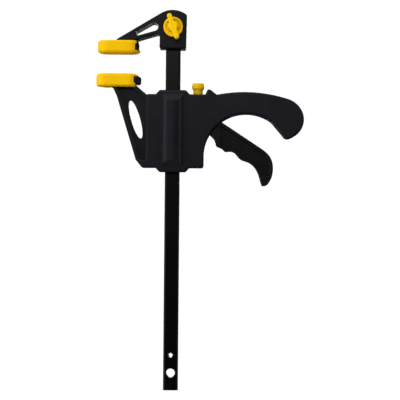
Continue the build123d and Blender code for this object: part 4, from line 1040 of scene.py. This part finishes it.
class ClampSprings(bpy.types.Operator):
    """Make the two coil springs"""

    bl_idname = "clamp.springs"
    bl_label = "Springs"

    def execute(self, context):
        sizes = context.scene.clamp_springs
        settings = context.scene.clamp_finish
        tint = times(settings.spring, 0.8)
        steel = bare_steel("spring_wire", settings.spring, 0.28, tint, settings)
        drive = (sizes.drive_wire, sizes.drive_turns, sizes.drive_travel)
        brake = (sizes.brake_wire, sizes.brake_turns, sizes.brake_travel)
        for name, node, joint, (wire, turns, travel) in (
            ("drive_coil", "drive_spring", "drive_slide", drive),
            ("brake_coil", "brake_spring", "brake_tilt", brake),
        ):
            low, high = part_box(node)
            wide, deep, tall = high - low
            foot = ((low.x + high.x) / 2, (low.y + high.y) / 2, low.z)
            outer = min(wide, deep) / 2
            points, quads = coil_points(outer, wire, turns, sizes.closed_turns, tall)
            coil = smooth_piece(name, points + np.array(foot), quads, steel)
            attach(coil, "handle")
            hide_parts(node)
            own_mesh(coil)
        return {"FINISHED"}


class ClampPlastics(bpy.types.Operator):
    """Finish the jaw, shells, trigger, knob and button"""

    bl_idname = "clamp.plastics"
    bl_label = "Plastic finishes"

    def execute(self, context):
        settings = context.scene.clamp_finish
        shell = moulded("shell_moulded", settings.shell, 0.42, 0.016 * MM, settings)
        jaw = moulded("jaw_moulded", settings.jaw, 0.46, 0.014 * MM, settings)
        trigger = moulded("trigger_moulded", settings.trigger, 0.40, 0.012 * MM, settings)
        dress("front_shell", shell)
        dress("rear_shell", shell)
        dress("fixed_jaw", jaw)
        dress("trigger", trigger)
        dress("wing_knob", soft_plastic("knob_moulded", settings.knob, settings))
        dress("release_button", soft_plastic("button_moulded", settings.button, settings))
        return {"FINISHED"}


class ClampMetals(bpy.types.Operator):
    """Finish the bar, pins, washer and plates"""

    bl_idname = "clamp.metals"
    bl_label = "Metal finishes"

    def execute(self, context):
        settings = context.scene.clamp_finish
        zinc, plate = settings.zinc, settings.plate
        dress("bar", coated_steel("bar_coating", settings.bar, settings))
        bright = bare_steel("zinc_plate", zinc, 0.3, times(zinc, 0.85), settings)
        hard = bare_steel("hard_plate", plate, 0.42, times(plate, 0.7), settings)
        for node in ("knob_washer", "trigger_pin"):
            dress(node, bright)
        for node in ("drive_plate_upper", "drive_plate_lower", "brake_plate"):
            dress(node, hard)
        return {"FINISHED"}


class ClampStudio(bpy.types.Operator):
    """Make the pale floor, the studio light and the camera"""

    bl_idname = "clamp.studio"
    bl_label = "Studio"

    def execute(self, context):
        scene = context.scene
        stage = scene.clamp_stage
        low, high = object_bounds()
        middle = (low + high) / 2

        points, quads = disc_points(
            stage.floor_radius, low.z - stage.floor_drop, stage.floor_thickness
        )
        floor = mesh_object("floor", points + np.array([middle.x, 0, 0]), quads)
        paint = Finish("floor_paint")
        dark, pale = (
            opaque([value + change for value in stage.floor_tone])
            for change in (-FLOOR_CONTRAST, FLOOR_CONTRAST)
        )
        tone = paint.mix(paint.noise(FLOOR_CLOUDS), dark, pale)
        floor.data.materials.append(paint.shade(Base_Color=tone, Roughness=0.9))
        floor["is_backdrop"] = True

        for side, place, width, height in LIGHTS:
            watts = getattr(stage, f"{side}_power")
            soft_box(f"{side}_light", place, middle, width, height, watts)
        scene.world = studio_room(stage)

        lens = bpy.data.cameras.new("camera")
        lens.lens = stage.lens
        lens.clip_start, lens.clip_end = NEAREST, FARTHEST
        camera = bpy.data.objects.new("camera", lens)
        camera.location = (stage.camera_across, -stage.camera_distance, stage.camera_height)
        camera.rotation_euler = (QUARTER, stage.roll, 0)
        scene.collection.objects.link(camera)
        scene.camera = camera
        scene.view_settings.view_transform = "Standard"
        return {"FINISHED"}


class ClampPanel(bpy.types.Panel):
    """Buttons and settings of the clamp"""

    bl_idname = "VIEW3D_PT_clamp"
    bl_label = "Bar clamp"
    bl_space_type = "VIEW_3D"
    bl_region_type = "UI"
    bl_category = "Clamp"

    def draw(self, context):
        for operator in OPERATORS:
            self.layout.operator(operator.bl_idname)
        for settings in (getattr(context.scene, name) for name in GROUPS):
            box = self.layout.box()
            for name in settings.bl_rna.properties.keys():
                if name not in ("rna_type", "name"):
                    box.prop(settings, name)


OPERATORS = (
    ClampJawPads,
    ClampJawFasteners,
    ClampStopPin,
    ClampShellScrews,
    ClampSprings,
    ClampPlastics,
    ClampMetals,
    ClampStudio,
)
GROUPS = {
    "clamp_pads": ClampPadSettings,
    "clamp_fasteners": ClampFastenerSettings,
    "clamp_springs": ClampSpringSettings,
    "clamp_finish": ClampFinishSettings,
    "clamp_stage": ClampStageSettings,
}


def register():
    """Registers the settings on the scene, the operators and the panel."""
    for group in GROUPS.values():
        bpy.utils.register_class(group)
    for name, group in GROUPS.items():
        setattr(bpy.types.Scene, name, PointerProperty(type=group))
    for operator in OPERATORS:
        bpy.utils.register_class(operator)
    bpy.utils.register_class(ClampPanel)


def unregister():
    """Takes back what register did, in the opposite order."""
    bpy.utils.unregister_class(ClampPanel)
    for operator in reversed(OPERATORS):
        bpy.utils.unregister_class(operator)
    for name in GROUPS:
        delattr(bpy.types.Scene, name)
    for group in reversed(GROUPS.values()):
        bpy.utils.unregister_class(group)


def main():
    """Makes every piece."""
    register()
    bpy.ops.clamp.jaw_pads()
    bpy.ops.clamp.jaw_fasteners()
    bpy.ops.clamp.stop_pin()
    bpy.ops.clamp.shell_screws()
    bpy.ops.clamp.springs()
    bpy.ops.clamp.plastics()
    bpy.ops.clamp.metals()
    bpy.ops.clamp.studio()


if __name__ == "__main__":
    main()
